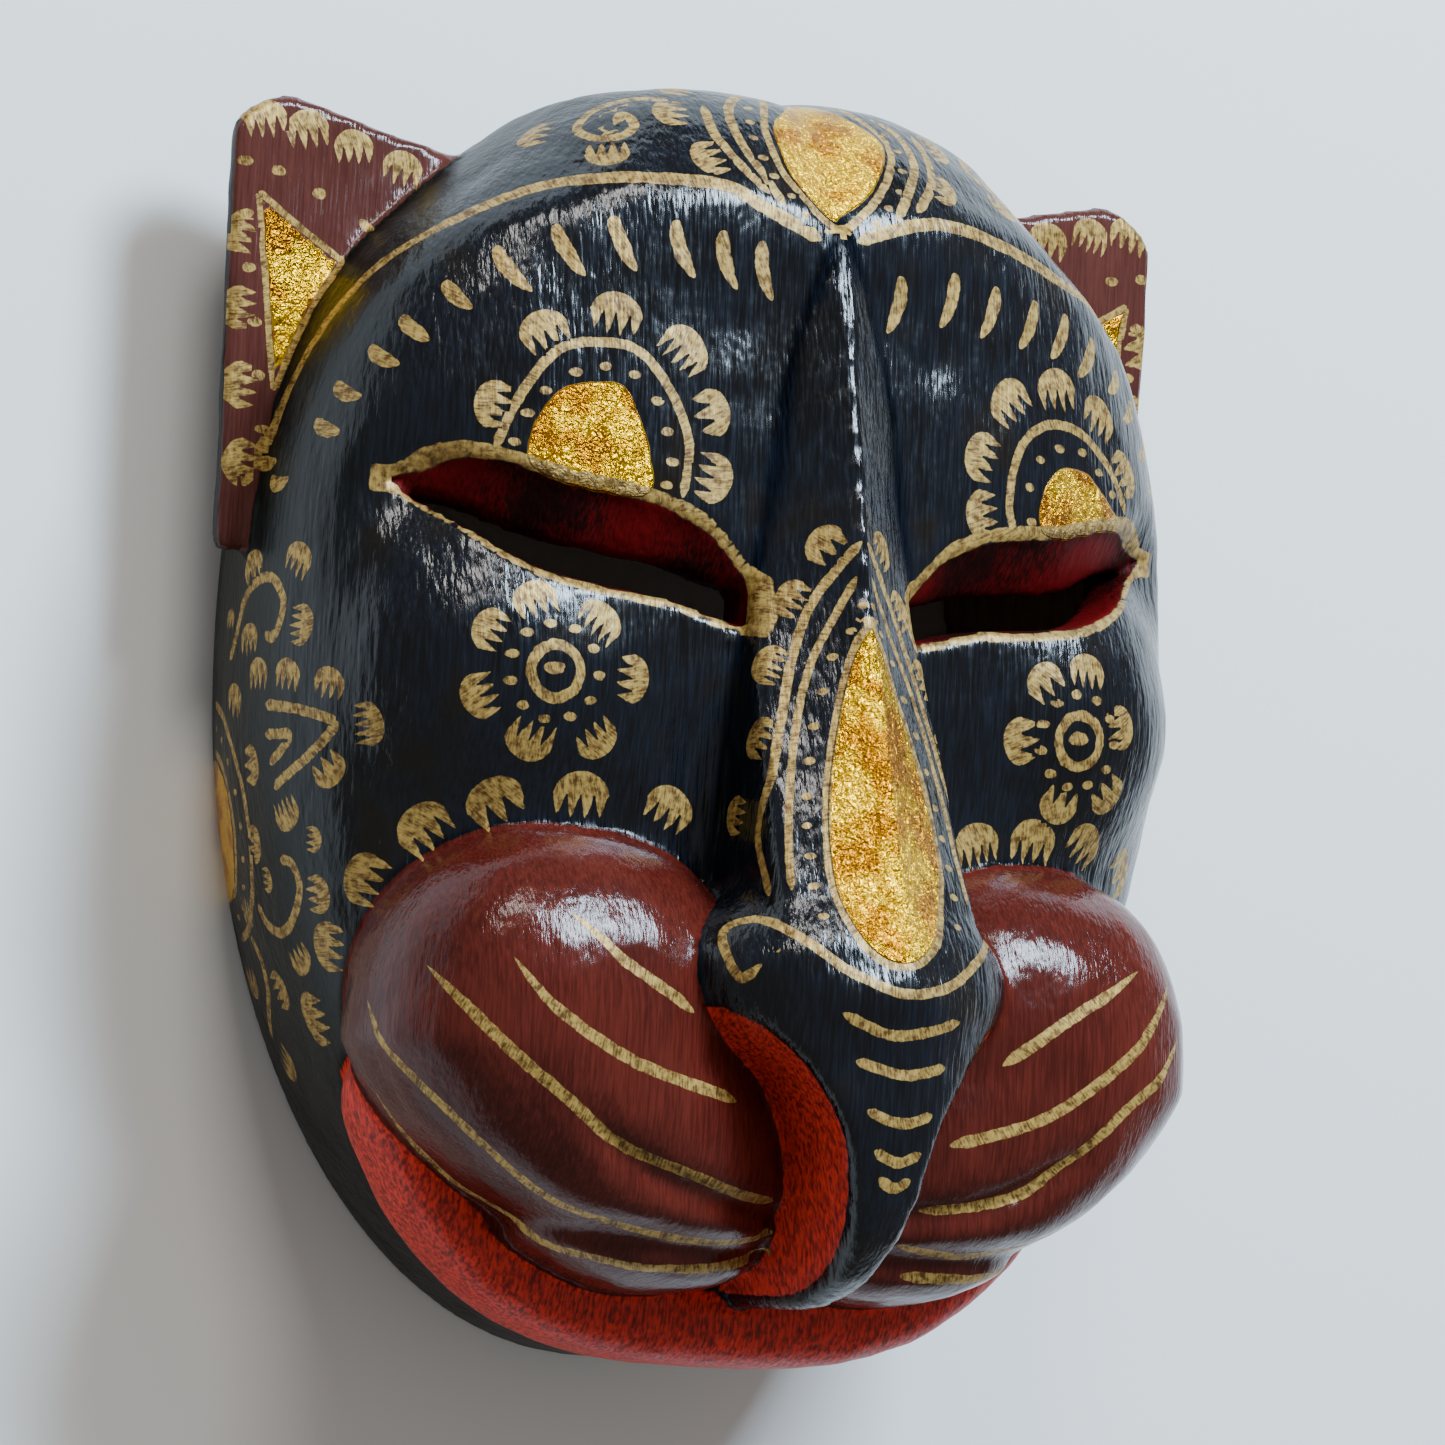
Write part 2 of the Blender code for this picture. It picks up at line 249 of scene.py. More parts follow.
def nose():
    """The nose with its beak, and the beak's front alone."""
    ridge = along(RIDGE, y)
    front = (z - ridge + along(NOSE_SLOPE, y) * x) * NOSE_SLANT
    side = x - along(NOSE_HALF_WIDTH, y) - NOSE_FLARE * (ridge - z)
    ends = np.maximum(NOSE_ENDS[0] - y, y - NOSE_ENDS[1])
    wedge = meet(meet(front, side, NOSE_EDGE), ends, WING_FILLET)
    fin = meet(z - ridge + BEAK_CROWN * x ** 2, BEAK_END - y, BEAK_CURL)
    narrow = meet(fin, x - along(BEAK_HALF_WIDTH, y), BEAK_EDGE)
    beak = meet(narrow, y - WING_CENTRE[1], WING_FILLET)
    whole = join(join(wedge, ellipsoid(WING_CENTRE, WING_RADII), WING_FILLET), beak, WING_FILLET)
    return whole, np.broadcast_to(fin, whole.shape)


nose_form, beak_front = nose()
print("the nose stands", RIDGE[1][1] - HEAD_FRONT, "units proud of the face")

# %% [markdown]
# ## Muzzle, lip and ears
# Two swollen pads sit on a red lip that closes the face below. Folds are carved along each pad.
# The ears are flat plates with three corners, thin at their outer edge.

# %% Pads, lip and ears
PAD_CENTRE = (44.0, -59.5, 62.5)
PAD_RADII = (33, 37.5, 27.5)
PAD_SQUARENESS = 2.5
PAD_LEAN = 0.62           # the lower half leans towards the beak
PAD_ROOT_CENTRE = (23, -72, 61)
PAD_ROOT_RADII = (21, 24, 20)
PAD_ROOT_FILLET = 9
FOLDS = (((53, -66), (42, -75), (28, -81), (7, -84.5)), ((69, -73), (50, -86), (27, -90), (7, -90)))
FOLD_DEPTH = 2.6
FOLD_HALF_WIDTH = 2.4
FOLD_RUN_OUT = 0.35       # share of its length over which a fold gets to its depth
LIP_HALF_WIDTH = 80
LIP_BOTTOM = 120.5
LIP_SQUARENESS = 2.8
LIP_MIDDLE = 45.0         # height of the lip's middle above the rim
LIP_HALF_THICKNESS = 11.0
LIP_EDGE = 9
LIP_END = -58
LIP_RUN_OUT = 16
EAR_OUTLINE = ((38, 91), (84, 101), (92.5, 95), (91, 21), (60, 30))
EAR_FRONT = 25.0
EAR_BACK = 6
EAR_EDGE = 3              # thickness at the outer edge
EAR_BACK_SLOPE = 0.9      # the back falls away from the edge
EAR_CORNER = 3
EAR_RIM = 1.5


def pads():
    lobe = ellipsoid(PAD_CENTRE, PAD_RADII, PAD_SQUARENESS, PAD_LEAN)
    lobe = join(lobe, ellipsoid(PAD_ROOT_CENTRE, PAD_ROOT_RADII), PAD_ROOT_FILLET)
    for fold in FOLDS:
        gap, share = distance_to_path(x, y, curve(fold))
        lobe = lobe + FOLD_DEPTH * rise(share, 0, FOLD_RUN_OUT) * np.exp(-(gap / FOLD_HALF_WIDTH) ** 2)
    return lobe


def lip():
    below = np.abs(y - HEAD_CENTRE)
    reach = rounded_sum(x / LIP_HALF_WIDTH, below / LIP_BOTTOM, LIP_SQUARENESS)
    outline = as_distance(reach - 1 + 0 * z)
    slab = np.abs(z - LIP_MIDDLE) - LIP_HALF_THICKNESS
    return meet(meet(outline, slab, LIP_EDGE), y - LIP_END, LIP_RUN_OUT)


def ear():
    corners = np.array(EAR_OUTLINE, float)
    plate = None
    for start, end in zip(corners, np.roll(corners, -1, axis=0)):
        run = (end - start) / np.hypot(*(end - start))
        outside = (y - start[1]) * run[0] - (x - start[0]) * run[1]
        plate = outside if plate is None else meet(plate, outside, EAR_CORNER)
    back = np.maximum(EAR_FRONT - EAR_EDGE + EAR_BACK_SLOPE * plate, EAR_BACK)
    return meet(plate, np.maximum(z - EAR_FRONT, back - z), EAR_RIM)


pad_form = pads()
lip_form = lip()
ear_form = ear()
print("the ears are", EAR_FRONT - EAR_BACK, "units thick at the root")

# %% [markdown]
# ## Eyes
# Each eye is a long cut with a sloping roof. Only a low slit at its back goes right through, and
# the wearer looks out there. The rest of the cut is a red shelf.

# %% Eye cuts
EYE_UPPER = ((14, 20), (21, 27), (27, 30.5), (36, 33), (47, 34.5), (58, 37), (65, 38), (70, 37), (74, 33.5))
EYE_LOWER = ((14, 13.5), (20, 14.5), (30, 17), (45, 18.7), (54, 20.5), (62, 24.5), (69, 30), (74, 33.5))
EYE_SURFACE = ((14, 74), (45, 69), (55, 66), (63, 62), (70, 57), (74, 52))
EYE_REACH = ((10, 14), (60, 13), (68, 9), (74, 6))
EYE_OPENING = 6           # clear height of the slit that goes through
EYE_ENDS = (15.5, 60)     # of that slit
EYE_CORNER = 74           # where the cut ends in a point
EYE_ROOF_SLOPE = 1.7
EYE_EDGE = 0.5
EYE_BACK_EDGE = 1


def eye_cut():
    """The cut of the eye: its roof slopes down to a low opening right through the wood."""
    depth = np.clip(along(EYE_SURFACE, x) - z, 0, None)
    floor = along(EYE_LOWER, x)
    clear = EYE_OPENING * (1 - rise(x, EYE_ENDS[1], EYE_CORNER))
    roof = np.maximum(along(EYE_UPPER, x) - EYE_ROOF_SLOPE * depth, floor + clear)
    slit = meet(meet(y - roof, floor - y, EYE_EDGE), EYE_ENDS[0] - x, EYE_EDGE)
    groove = meet(slit, depth - along(EYE_REACH, x), EYE_BACK_EDGE)
    return np.minimum(groove, meet(slit, x - EYE_ENDS[1], EYE_BACK_EDGE))


eye_form = eye_cut()
print("the eye is", EYE_CORNER - EYE_UPPER[0][0], "units wide")

# %% [markdown]
# ## From field to mesh
# OpenVDB walks the grid and lays a face wherever the field changes sign. Two rounds of the
# Smooth modifier sand the steps of the grid away. A little noise along the normals then gives the
# uneven surface of hand carving, which breaks the highlights up as on the real lacquer.

# %% One closed mesh
LIP_FILLET = 1.5
MUZZLE_FILLET = 1.6
EAR_FILLET = 2.5
NOSE_FILLET = 1.2
HOLLOW_FILLET = 3
EYE_FILLET = 0.6
BAND = 3.0                # cells on either side of the surface in which the field counts

muzzle = join(pad_form, lip_form, LIP_FILLET)
block = join(join(shell, muzzle, MUZZLE_FILLET), ear_form, EAR_FILLET)
block = join(block, nose_form, NOSE_FILLET)
block = cut(cut(block, hollow, HOLLOW_FILLET), eye_form, EYE_FILLET)
block = np.maximum(block, -z)
both_sides = np.concatenate([block[:0:-1], block])
grid = openvdb.FloatGrid(background=BAND)
grid.gridClass = openvdb.GridClass.LEVEL_SET
grid.copyFromArray(np.clip(both_sides / CELL, -BAND, BAND).astype(np.float32))
rough_points, quads = grid.convertToQuads(isovalue=0.0)
rough_points = rough_points * CELL + (-x_axis[-1], y_axis[0], z_axis[0])

rough = bpy.data.meshes.new("rough")
rough.from_pydata(rough_points, [], quads)
carving = bpy.data.objects.new("carving", rough)
bpy.context.scene.collection.objects.link(carving)
sanding = carving.modifiers.new("Sanding", "SMOOTH")
sanding.factor = 0.5
sanding.iterations = 2
graph = bpy.context.evaluated_depsgraph_get()
mesh = bpy.data.meshes.new_from_object(carving.evaluated_get(graph))
bpy.data.objects.remove(carving)
mesh.name = "mask"
print(len(mesh.vertices), "points,", 2 * len(mesh.polygons), "triangles")

# %% Points, faces and the way outwards


def read(items, name, width, kind=float):
    values = np.empty(len(items) * width, kind)
    items.foreach_get(name, values)
    return values.reshape(-1, width) if width > 1 else values


points = read(mesh.vertices, "co", 3)
points[:, 2] = np.where(np.abs(points[:, 2]) < 0.3 * CELL, 0, points[:, 2])
mesh.vertices.foreach_set("co", points.ravel())
mesh.update()
corners = read(mesh.loops, "vertex_index", 1, int).reshape(-1, 4)
normals = read(mesh.vertices, "normal", 3)
outward = np.sign((points[:, 2] > 60) @ normals[:, 2])
if outward < 0:
    mesh.flip_normals()
    corners = read(mesh.loops, "vertex_index", 1, int).reshape(-1, 4)
    normals = -normals
face_points = points[corners]
face_centres = face_points.mean(axis=1)
face_normals = normals[corners].mean(axis=1)
tree = BVHTree.FromPolygons(points.tolist(), corners.tolist())
print("faces point", "out" if outward > 0 else "in, and were turned over")

# %% [markdown]
# ## Where each colour lies
# The carver's forms also tell the painter where to paint. The field of each form is read back at
# every point of the mesh and kept there as an attribute, positive inside the patch of colour. The
# shader cuts it at zero, which gives a smooth edge that doesn't follow the faces.

# %% Reading the fields at the mesh


def at_points(field):
    """The field at each point of the mesh, from the eight grid values round it."""
    place = np.stack([np.abs(points[:, 0]), points[:, 1] - y_axis[0], points[:, 2] - z_axis[0]], axis=1)
    place = place / CELL
    base = np.clip(place.astype(int), 0, np.array(field.shape) - 2)
    share = place - base
    value = np.zeros(len(points))
    for corner in np.ndindex(2, 2, 2):
        weight = np.prod(np.where(corner, share, 1 - share), axis=1)
        value += weight * field[tuple((base + corner).T)]
    return value


def keep(name, values):
    """Stores one number for each point of the mesh."""
    layer = mesh.attributes.new(name, "FLOAT", "POINT")
    layer.data.foreach_set("value", values.astype(np.float32))
    print(f"{name}: {(values > 0).mean():.1%} of the points")


px, py, pz = points.T
depth_in_wood = -at_points(shell)
at_pad = at_points(pad_form)
at_lip = at_points(lip_form)
at_nose = at_points(nose_form)
at_eye = at_points(eye_form)
at_ear = at_points(ear_form)
print("deepest point of the wood is", round(depth_in_wood.max(), 1), "units in")

# %% Pads, lip, beak, ears and eyes
OVERLAP = 0.9             # how far a colour runs out past its form
CLEAR_OF_NOSE = 0.3       # how far the pads' and the lip's colours stop short of the nose
EYE_LINE_END = 77.5       # just past the outer corner of the eye

from_middle = np.abs(px)
above_lip_back = pz - LIP_MIDDLE + LIP_HALF_THICKNESS
keep("pad", np.minimum(OVERLAP - at_pad, at_nose - CLEAR_OF_NOSE))
keep("lip", np.minimum(np.minimum(OVERLAP - at_lip, above_lip_back), at_nose - CLEAR_OF_NOSE))
keep("beak_side", np.minimum(np.minimum(-2.2 - at_points(beak_front), -51 - py), 1.5 - at_nose))
on_ear = np.minimum(1.2 - np.abs(pz - EAR_FRONT), 0.5 - at_ear)
keep("ear", np.minimum(pz - EAR_FRONT + 1.2, OVERLAP - at_ear))
# fold is near 0 only in the creases where two forms meet. The shader turns the lacquer's reflection down
# there, which is painted shade in the creases.
forms = np.abs([depth_in_wood, at_pad, at_lip, at_nose, at_ear])
second_nearest = np.sort(forms, axis=0)[1]
keep("fold", second_nearest)
keep("eye_wall", np.minimum(depth_in_wood - 0.7, 3 - at_eye))
line_width = np.where(py > along(EYE_LOWER, from_middle) + 1, 2.7, 2.0)
eye_line = np.minimum(line_width - at_eye, 0.8 - depth_in_wood)
keep("eye_line", np.minimum(eye_line, EYE_LINE_END - from_middle))

# %% [markdown]
# ## Gold leaf
# Leaf was laid over the eyes, on the nose and the crown and in the ears. Each patch is a closed
# curve in plan, and a point's value is its distance inside the nearest one.

# %% Patches of leaf
EYE_LEAF_LEFT = ((-56, 38), (-55, 44), (-51, 50), (-46, 52), (-40, 52), (-37, 47), (-35, 41), (-35, 34),
                 (-45, 34), (-53, 36))
EYE_LEAF_RIGHT = ((65, 38), (58, 44), (54, 47), (48, 47), (44, 43), (43, 36), (49, 34.5), (58, 36))
NOSE_LEAF = ((0, 14.5), (-3.5, 8), (-7.5, -6), (-10, -19), (-10, -31), (-6.5, -39.5), (0, -42),
             (7, -37), (11, -26), (10.5, -14), (7.5, -3), (3.5, 8))
CROWN_LEAF = ((-1, 84), (-4, 86), (-8, 91), (-9, 97), (-8, 101), (-1, 105.5), (5, 106), (10, 103),
              (13, 100), (11, 95), (6, 89))
EAR_LEAF_LEFT = ((-87, 82), (-71, 72), (-82, 51))
ROSETTE = (-24.0, 3.0)    # its middle on the side wall: height on the face, height above the rim
ROSETTE_LEAF = 12         # radius of its leaf


def inside_curve(outline, smooth=True):
    """Distance in plan inside a closed line, negative outside it."""
    outline = [*outline, outline[0]]
    path = curve(outline) if smooth else np.array(outline, float)
    nearest, share = distance_to_path(px, py, path)
    inside = np.zeros(len(points), bool)
    for (ax, ay), (bx, by) in zip(path, path[1:]):
        crosses = (ay > py) != (by > py)
        inside ^= crosses & (px < ax + (py - ay) / (by - ay + 1e-12) * (bx - ax))
    return np.where(inside, nearest, -nearest)


def flipped(place, side):
    """The place itself where side is 1, its mirror image where it is -1."""
    return (side * place[0], *place[1:])


def on_side(path, side):
    return [flipped(place, side) for place in path]


patches = [inside_curve(path) for path in (EYE_LEAF_LEFT, EYE_LEAF_RIGHT, NOSE_LEAF, CROWN_LEAF)]
ear_patches = [inside_curve(on_side(EAR_LEAF_LEFT, side), smooth=False) for side in (1, -1)]
leaf = np.minimum(np.max(patches, axis=0), pz - 40)
ear_leaf = np.minimum(np.minimum(np.max(ear_patches, axis=0), on_ear), -1 - depth_in_wood)
from_rosette = np.hypot(py - ROSETTE[0], pz - ROSETTE[1])
side_leaf = np.minimum(ROSETTE_LEAF - from_rosette, from_middle - 70)
keep("leaf", np.minimum(np.maximum.reduce([leaf, ear_leaf, side_leaf]), 1 - depth_in_wood))

# %% [markdown]
# ## Brush marks
# Every mark of the brush gets its own small coordinates, in which the shader draws it. A long
# stroke measures how far along it and how far beside it a point lies. A comb, dot or ring measures
# from its own middle. Each face belongs to the mark nearest to it, so the marks never mix.

# %% Laying marks on the surface
STROKE, COMMA, DOT, RING, COMB = range(1, 6)
MARGIN = 1.6              # room round a mark, for its soft edge
STROKE_MARGIN = 1.4
FACING = 0.15             # least cosine between the normals of a face and of its mark
nearness = np.ones(len(corners))
motif = np.zeros((len(corners), 4, 3))     # place inside the mark: across or along, up or beside
mark = np.zeros((len(corners), 4, 3))      # kind, length, half width
style = np.zeros((len(corners), 4, 3))     # seed, then two numbers for the kind
hand = np.random.default_rng(7)            # the painter's small unevenness


def on_surface(place):
    """The nearest point of the surface, found from the front where no height is given."""
    hit = (None,)
    if len(place) == 2:
        hit = tree.ray_cast(Vector((*place, 200)), Vector((0, 0, -1)))
    if hit[0] is None:
        hit = tree.find_nearest(Vector((*place, 45)[:3]))
    return np.array(hit[0]), normals[corners[hit[2]]].mean(axis=0)


def stamp(kind, at, toward, half_width, length=0.0, bend=0.0):
    """One mark whose lower end points toward a place."""
    centre, out = on_surface(at)
    up = centre - on_surface(toward)[0]
    out = out / np.linalg.norm(out)
    up = up - (up @ out) * out
    up = up / (np.linalg.norm(up) + 1e-9)
    across = np.cross(up, out)
    distance = np.linalg.norm(face_centres - centre, axis=1)
    if kind == RING:
        distance = np.abs(distance - length / 2) / (half_width + MARGIN)
    else:
        distance = distance / (max(half_width, length / 2) * 1.25 + MARGIN)
    ours = (distance < nearness) & (face_normals @ out > FACING)
    nearness[ours] = distance[ours]
    offset = face_points[ours] - centre
    motif[ours] = np.stack([offset @ across, offset @ up, np.zeros(offset.shape[:2])], axis=-1)
    mark[ours] = (kind, length, half_width)
    style[ours] = (hand.uniform(0, 100), bend, hand.uniform(-1, 1))


print("kinds of mark:", "stroke, comma, dot, ring, comb")

# %% Long strokes


def stroke(places, half_width, start=2.0, end=2.0):
    """A brush stroke over the surface through the places. start and end are its tapers."""
    anchors = [on_surface(place)[0] for place in places]
    found = [on_surface(tuple(place)) for place in curve(anchors)]
    path = np.array([place for place, out in found])
    outs = np.array([out for place, out in found])
    runs = np.diff(path, axis=0)
    lengths = np.linalg.norm(runs, axis=1) + 1e-6
    reached = np.concatenate([[0], np.cumsum(lengths)])
    reach = half_width + STROKE_MARGIN
    above_low = np.all(face_centres > path.min(axis=0) - reach, axis=1)
    below_high = np.all(face_centres < path.max(axis=0) + reach, axis=1)
    chosen = np.flatnonzero(above_low & below_high)
    used, back = np.unique(corners[chosen], return_inverse=True)
    best = np.full(len(used), 1e9)
    u = np.zeros(len(used))
    v = np.zeros(len(used))
    for k, run in enumerate(runs):
        offset = points[used] - path[k]
        t = offset @ run / lengths[k] ** 2
        low = -9 if k == 0 else 0
        high = 9 if k == len(runs) - 1 else 1
        t = np.clip(t, low, high)
        gap = offset - t[:, None] * run
        distance = np.linalg.norm(gap, axis=1)
        closer = distance < best
        side = np.cross(outs[k], run / lengths[k])
        best = np.where(closer, distance, best)
        u = np.where(closer, reached[k] + t * lengths[k], u)
        v = np.where(closer, np.copysign(distance, gap @ side), v)
    u = u[back].reshape(-1, 4)
    v = v[back].reshape(-1, 4)
    beyond = np.maximum(-u, u - reached[-1]).mean(axis=1).clip(0)
    distance = (np.abs(v).mean(axis=1) + beyond) / reach
    ours = distance < nearness[chosen]
    chosen = chosen[ours]
    nearness[chosen] = distance[ours]
    motif[chosen] = np.stack([u, v, np.zeros_like(u)], axis=-1)[ours]
    mark[chosen] = (STROKE, reached[-1], half_width)
    style[chosen] = (hand.uniform(0, 100), start, end)


def comb(at, toward, half_width=4.4):
    """The batik comb: a dome with fingers that point toward a place."""
    stamp(COMB, at, toward, half_width * hand.uniform(0.92, 1.06), bend=hand.uniform(-0.15, 0.15))


def dot(at, half_width=1.0):
    stamp(DOT, at, (*at[:1], at[1] - 5, *at[2:]), half_width)


print("strokes, combs and dots are ready")

# %% [markdown]
# ## Border, brow dashes and eyes
# A gold line follows the ridge from the middle of the brow to the ear on each side, with a row of
# short commas under it. Over each eye, dots, an arc and a ring of combs go round the leaf.

# %% Border and dashes
BORDER = ((-4, 80.5), (-15, 85), (-22, 88), (-36, 88), (-49, 86), (-54, 84), (-64, 78), (-74, 68),
          (-83, 50, 29), (-87, 33, 25))
BORDER_OTHER = ((3, 81), (14, 85), (23, 86), (36, 84), (51, 80), (64, 75), (74, 65), (83, 49, 30),
                (87, 33, 25))
DASHES = ((-15, 74), (-22, 75), (-30, 76), (-40, 76), (-49, 74), (-58, 70), (-66, 65), (-72, 59), (-76, 54),
          (-80, 48), (-82, 42), (-84, 37), (-84, 33, 33))
DASHES_OTHER = ((12, 71), (23, 73), (32, 72), (41, 71), (49, 70), (56, 67), (64, 64), (68, 59), (73, 53),
                (78, 47), (81, 41), (83, 36))
DASH_LENGTH = 10.2
SHORT_DASH = 7.0
SHORT_FROM = 62           # beside the eyes, this far from the middle, the dashes are short
DASH_HALF_WIDTH = 1.65
BROW_MIDDLE = 24.0        # the dashes fan out from here

stroke(BORDER, 1.35)
stroke(BORDER_OTHER, 1.25)
for place in DASHES + DASHES_OTHER:
    length = DASH_LENGTH if abs(place[0]) < SHORT_FROM else SHORT_DASH
    middle = (place[0] * 0.62, BROW_MIDDLE + 0.25 * (place[1] - BROW_MIDDLE))
    bend = -np.sign(place[0]) * hand.uniform(0.3, 1.0)
    stamp(COMMA, place, middle, DASH_HALF_WIDTH, length, bend)
print("dashes:", len(DASHES + DASHES_OTHER))

# %% Round the eyes
LINE = 0.95               # half width of a gold line
EYES = (
    {"middle": (-44, 42),
     "dots": ((-58, 41), (-56, 46), (-53, 50), (-48, 53.5), (-43, 55), (-38, 54), (-34, 50), (-32, 45),
              (-31, 40), (-32, 36)),
     "arc": ((-61, 39.5), (-57, 49), (-51, 57), (-44, 59), (-37, 58), (-31, 51), (-28, 43), (-29, 34)),
     "combs": ((-61, 47), (-53, 60), (-41, 64), (-29, 59), (-24, 49), (-23.5, 38))},
    {"middle": (50, 40),
     "dots": ((41, 37), (40.5, 43), (43, 48), (47.5, 50.5), (53, 50.5), (57.5, 47.5), (61, 44)),
     "arc": ((37.5, 34), (36, 40), (38, 49), (44, 54), (52, 54), (60, 49), (65, 41)),
     "combs": ((30.5, 37), (30, 47), (36, 57), (47, 60.5), (58, 57), (64.5, 48))},
)
for eye in EYES:
    stroke(eye["arc"], LINE)
    for place in eye["dots"]:
        dot(place, 0.95)
    for place in eye["combs"]:
        comb(place, eye["middle"], 4.6)
print("combs round the eyes:", sum(len(eye["combs"]) for eye in EYES))

# %% [markdown]
# ## Cheek flowers and the combs above the pads
# Each cheek carries a flower: a ring, a circle of dots and six or seven combs that point inward.

# %% Flowers
FLOWERS = (
    {"middle": (-52, 3),
     "combs": ((-63, 9), (-55.5, 14.5), (-44, 12), (-37.5, 3), (-43, -7.5), (-55, -8.5), (-64, -2))},
    {"middle": (51, 0),
     "combs": ((43.5, 9.5), (52.5, 12), (60, 3), (59.5, -8.5), (49, -11), (39.5, -1))},
)
RING_WIDTH = 8.8          # across the ring
DOT_CIRCLE = 8.0          # radius of the circle of dots
DOTS_ROUND = 11

for flower in FLOWERS:
    middle = np.array(flower["middle"])
    stamp(RING, tuple(middle), tuple(middle - (0, 5)), 1.0, RING_WIDTH)
    dot(tuple(middle + (-0.4, 0.5)), 1.5)
    for angle in np.arange(DOTS_ROUND) / DOTS_ROUND * 2 * np.pi:
        dot(tuple(middle + DOT_CIRCLE * np.array([np.cos(angle), np.sin(angle)])), 1.0)
    for place in flower["combs"]:
        comb(place, tuple(middle), 4.2)

# %% Combs above the pads
PAD_COMBS = ((-28, -18), (-44, -17), (-58, -19), (-67.5, -24), (-74, -33, 53), (-75, -44, 44),
             (-72, -56, 34), (33, -19.5), (45, -18), (57, -17.5), (70, -21))
for place in PAD_COMBS:
    comb(place, (np.sign(place[0]) * 46, -56), 4.9)
print("combs above the pads:", len(PAD_COMBS))

# %% [markdown]
# ## Nose and beak
# The nose carries a long tear of leaf, outlined, with dots and two lines on either side. A curl
# crosses the wings, and short dashes step down the beak.

# %% Lines down the nose
TEAR_LINE = ((0, 15), (-3.5, 9), (-7.5, -5), (-10, -18), (-10.5, -30), (-7, -40), (0, -42.5), (7.5, -37.5),
             (11, -26), (10.5, -14), (7.5, -3), (3.5, 9), (0, 15.5))
NOSE_OUTER = ((-0.5, 29), (-3.5, 25), (-8, 18), (-11.5, 9), (-14.5, -2), (-17.2, -12), (-18.6, -22),
              (-19.3, -32))
NOSE_INNER = ((-1.5, 23), (-5, 16), (-9, 8), (-12, -1), (-14.5, -12), (-16.2, -22), (-17, -31))
NOSE_DOTS = ((-1, 18), (-3, 13.5), (-6, 9), (-8, 3), (-10, -3), (-11.4, -9), (-12.5, -15), (-13.2, -20),
             (-13.5, -25), (-13.5, -30), (-13, -35))
NOSE_COMBS = ((-5.5, 28), (-10.5, 18.5), (-14.8, 7), (-17.5, -5.5), (-18.8, -18.5))
stroke(TEAR_LINE, 0.8, 0.5, 0.5)
for side in (1, -1):
    stroke(on_side(NOSE_OUTER, side), LINE)
    stroke(on_side(NOSE_INNER, side), 0.8)
    for place in on_side(NOSE_DOTS, side):
        dot(place, 0.85)
    for place in on_side(NOSE_COMBS, side):
        comb(place, (place[0] * 0.3, place[1] - 5), 3.7)
print("combs beside the nose:", 2 * len(NOSE_COMBS))

# %% Curl on the wings and dashes on the beak
CURL = ((-23, -43.5), (-25.5, -46), (-27, -42), (-26, -38), (-22, -36), (-17, -39), (-10, -44, 104),
        (-1, -47, 107), (9, -45, 105), (17, -40, 101), (22, -36.5, 95), (26, -39, 90))
BEAK_DASHES = ((-59.5, 9), (-67.5, 6.5), (-74, 4.6), (-78.5, 3.2))    # height, half length
stroke(CURL, LINE)
stroke(((-12, -51, 106), (-2, -54, 107), (12, -51, 106)), 1.0)
for middle, half in BEAK_DASHES:
    stroke(((-half, middle + 1, 106), (0, middle - 0.8, 106), (half, middle + 1, 106)), 1.0, 1.2, 1.2)
print("the curl crosses", CURL[-1][0] - CURL[3][0], "units")

# %% [markdown]
# ## Stripes on the pads
# Five long tapered strokes follow the swelling of each pad down to the beak, like whiskers.

# %% Whisker stripes
STRIPES = (((-53, -37), (-48, -41), (-43, -45), (-30, -52)),
           ((-63, -45), (-56, -53), (-41, -61), (-20, -66)),
           ((-74, -47, 76), (-69, -54), (-62, -61), (-52, -68), (-42, -74), (-26, -79), (-8, -82, 80)),
           ((-77, -53, 62), (-73, -65, 71), (-64, -73, 76), (-53, -82, 78), (-41, -87, 80), (-26, -89, 80),
            (-5, -87, 76)),
           ((-72, -68, 56), (-58, -81, 58), (-48, -87, 63), (-39, -93, 73), (-29, -94, 76), (-19, -94, 77),
            (-4, -91, 73)))
STRIPES_OTHER = (((58, -39), (50, -44), (43, -48), (30, -57)),
                 ((66, -41), (60, -49), (55, -54), (39, -65), (21, -71)),
                 ((68, -50), (63, -57), (55, -63), (45, -72), (35, -79), (18, -82)),
                 ((72, -60, 72), (62, -73, 76), (52, -81, 78), (44, -86), (32, -89), (16, -88)),
                 ((58, -81, 58), (42, -91, 72), (29, -93, 77), (19, -93, 77)))
for places in STRIPES + STRIPES_OTHER:
    stroke(places, 1.1, 12, 3)
print("stripes:", len(STRIPES + STRIPES_OTHER))

# %% [markdown]
# ## Crown
# Behind the brow the leaf tear stands between dots, two lines on each side, a curl and combs.

# %% Crown ornament
CROWN_LINE = ((-0.5, 82.5), (-5, 85.5), (-9.5, 91), (-10.6, 97), (-9.3, 102.3), (-1, 106.8), (5, 107.3),
              (11, 104.3), (14.3, 100), (12.3, 94.6), (7, 88), (0, 82.3))
CROWN_DOTS = ((-7, 84.5), (-9.5, 87.5), (-11.8, 90.8), (-13, 94), (-13.6, 97.5), (-13, 100.5),
              (-11.5, 103.5), (7, 84.5), (10, 87.5), (13, 91), (15, 95), (16, 99), (15, 102))
CROWN_LINES = (((-11, 85.5), (-13.5, 90), (-16.5, 97), (-15.5, 103), (-9, 106.8)),
               ((-13.5, 87.5), (-17, 91), (-20.5, 97), (-20, 103)),
               ((11, 85.5), (15.5, 92), (18.5, 97), (18, 102), (14, 105)),
               ((15.5, 87.5), (20.5, 93), (22.5, 98), (22, 103)))
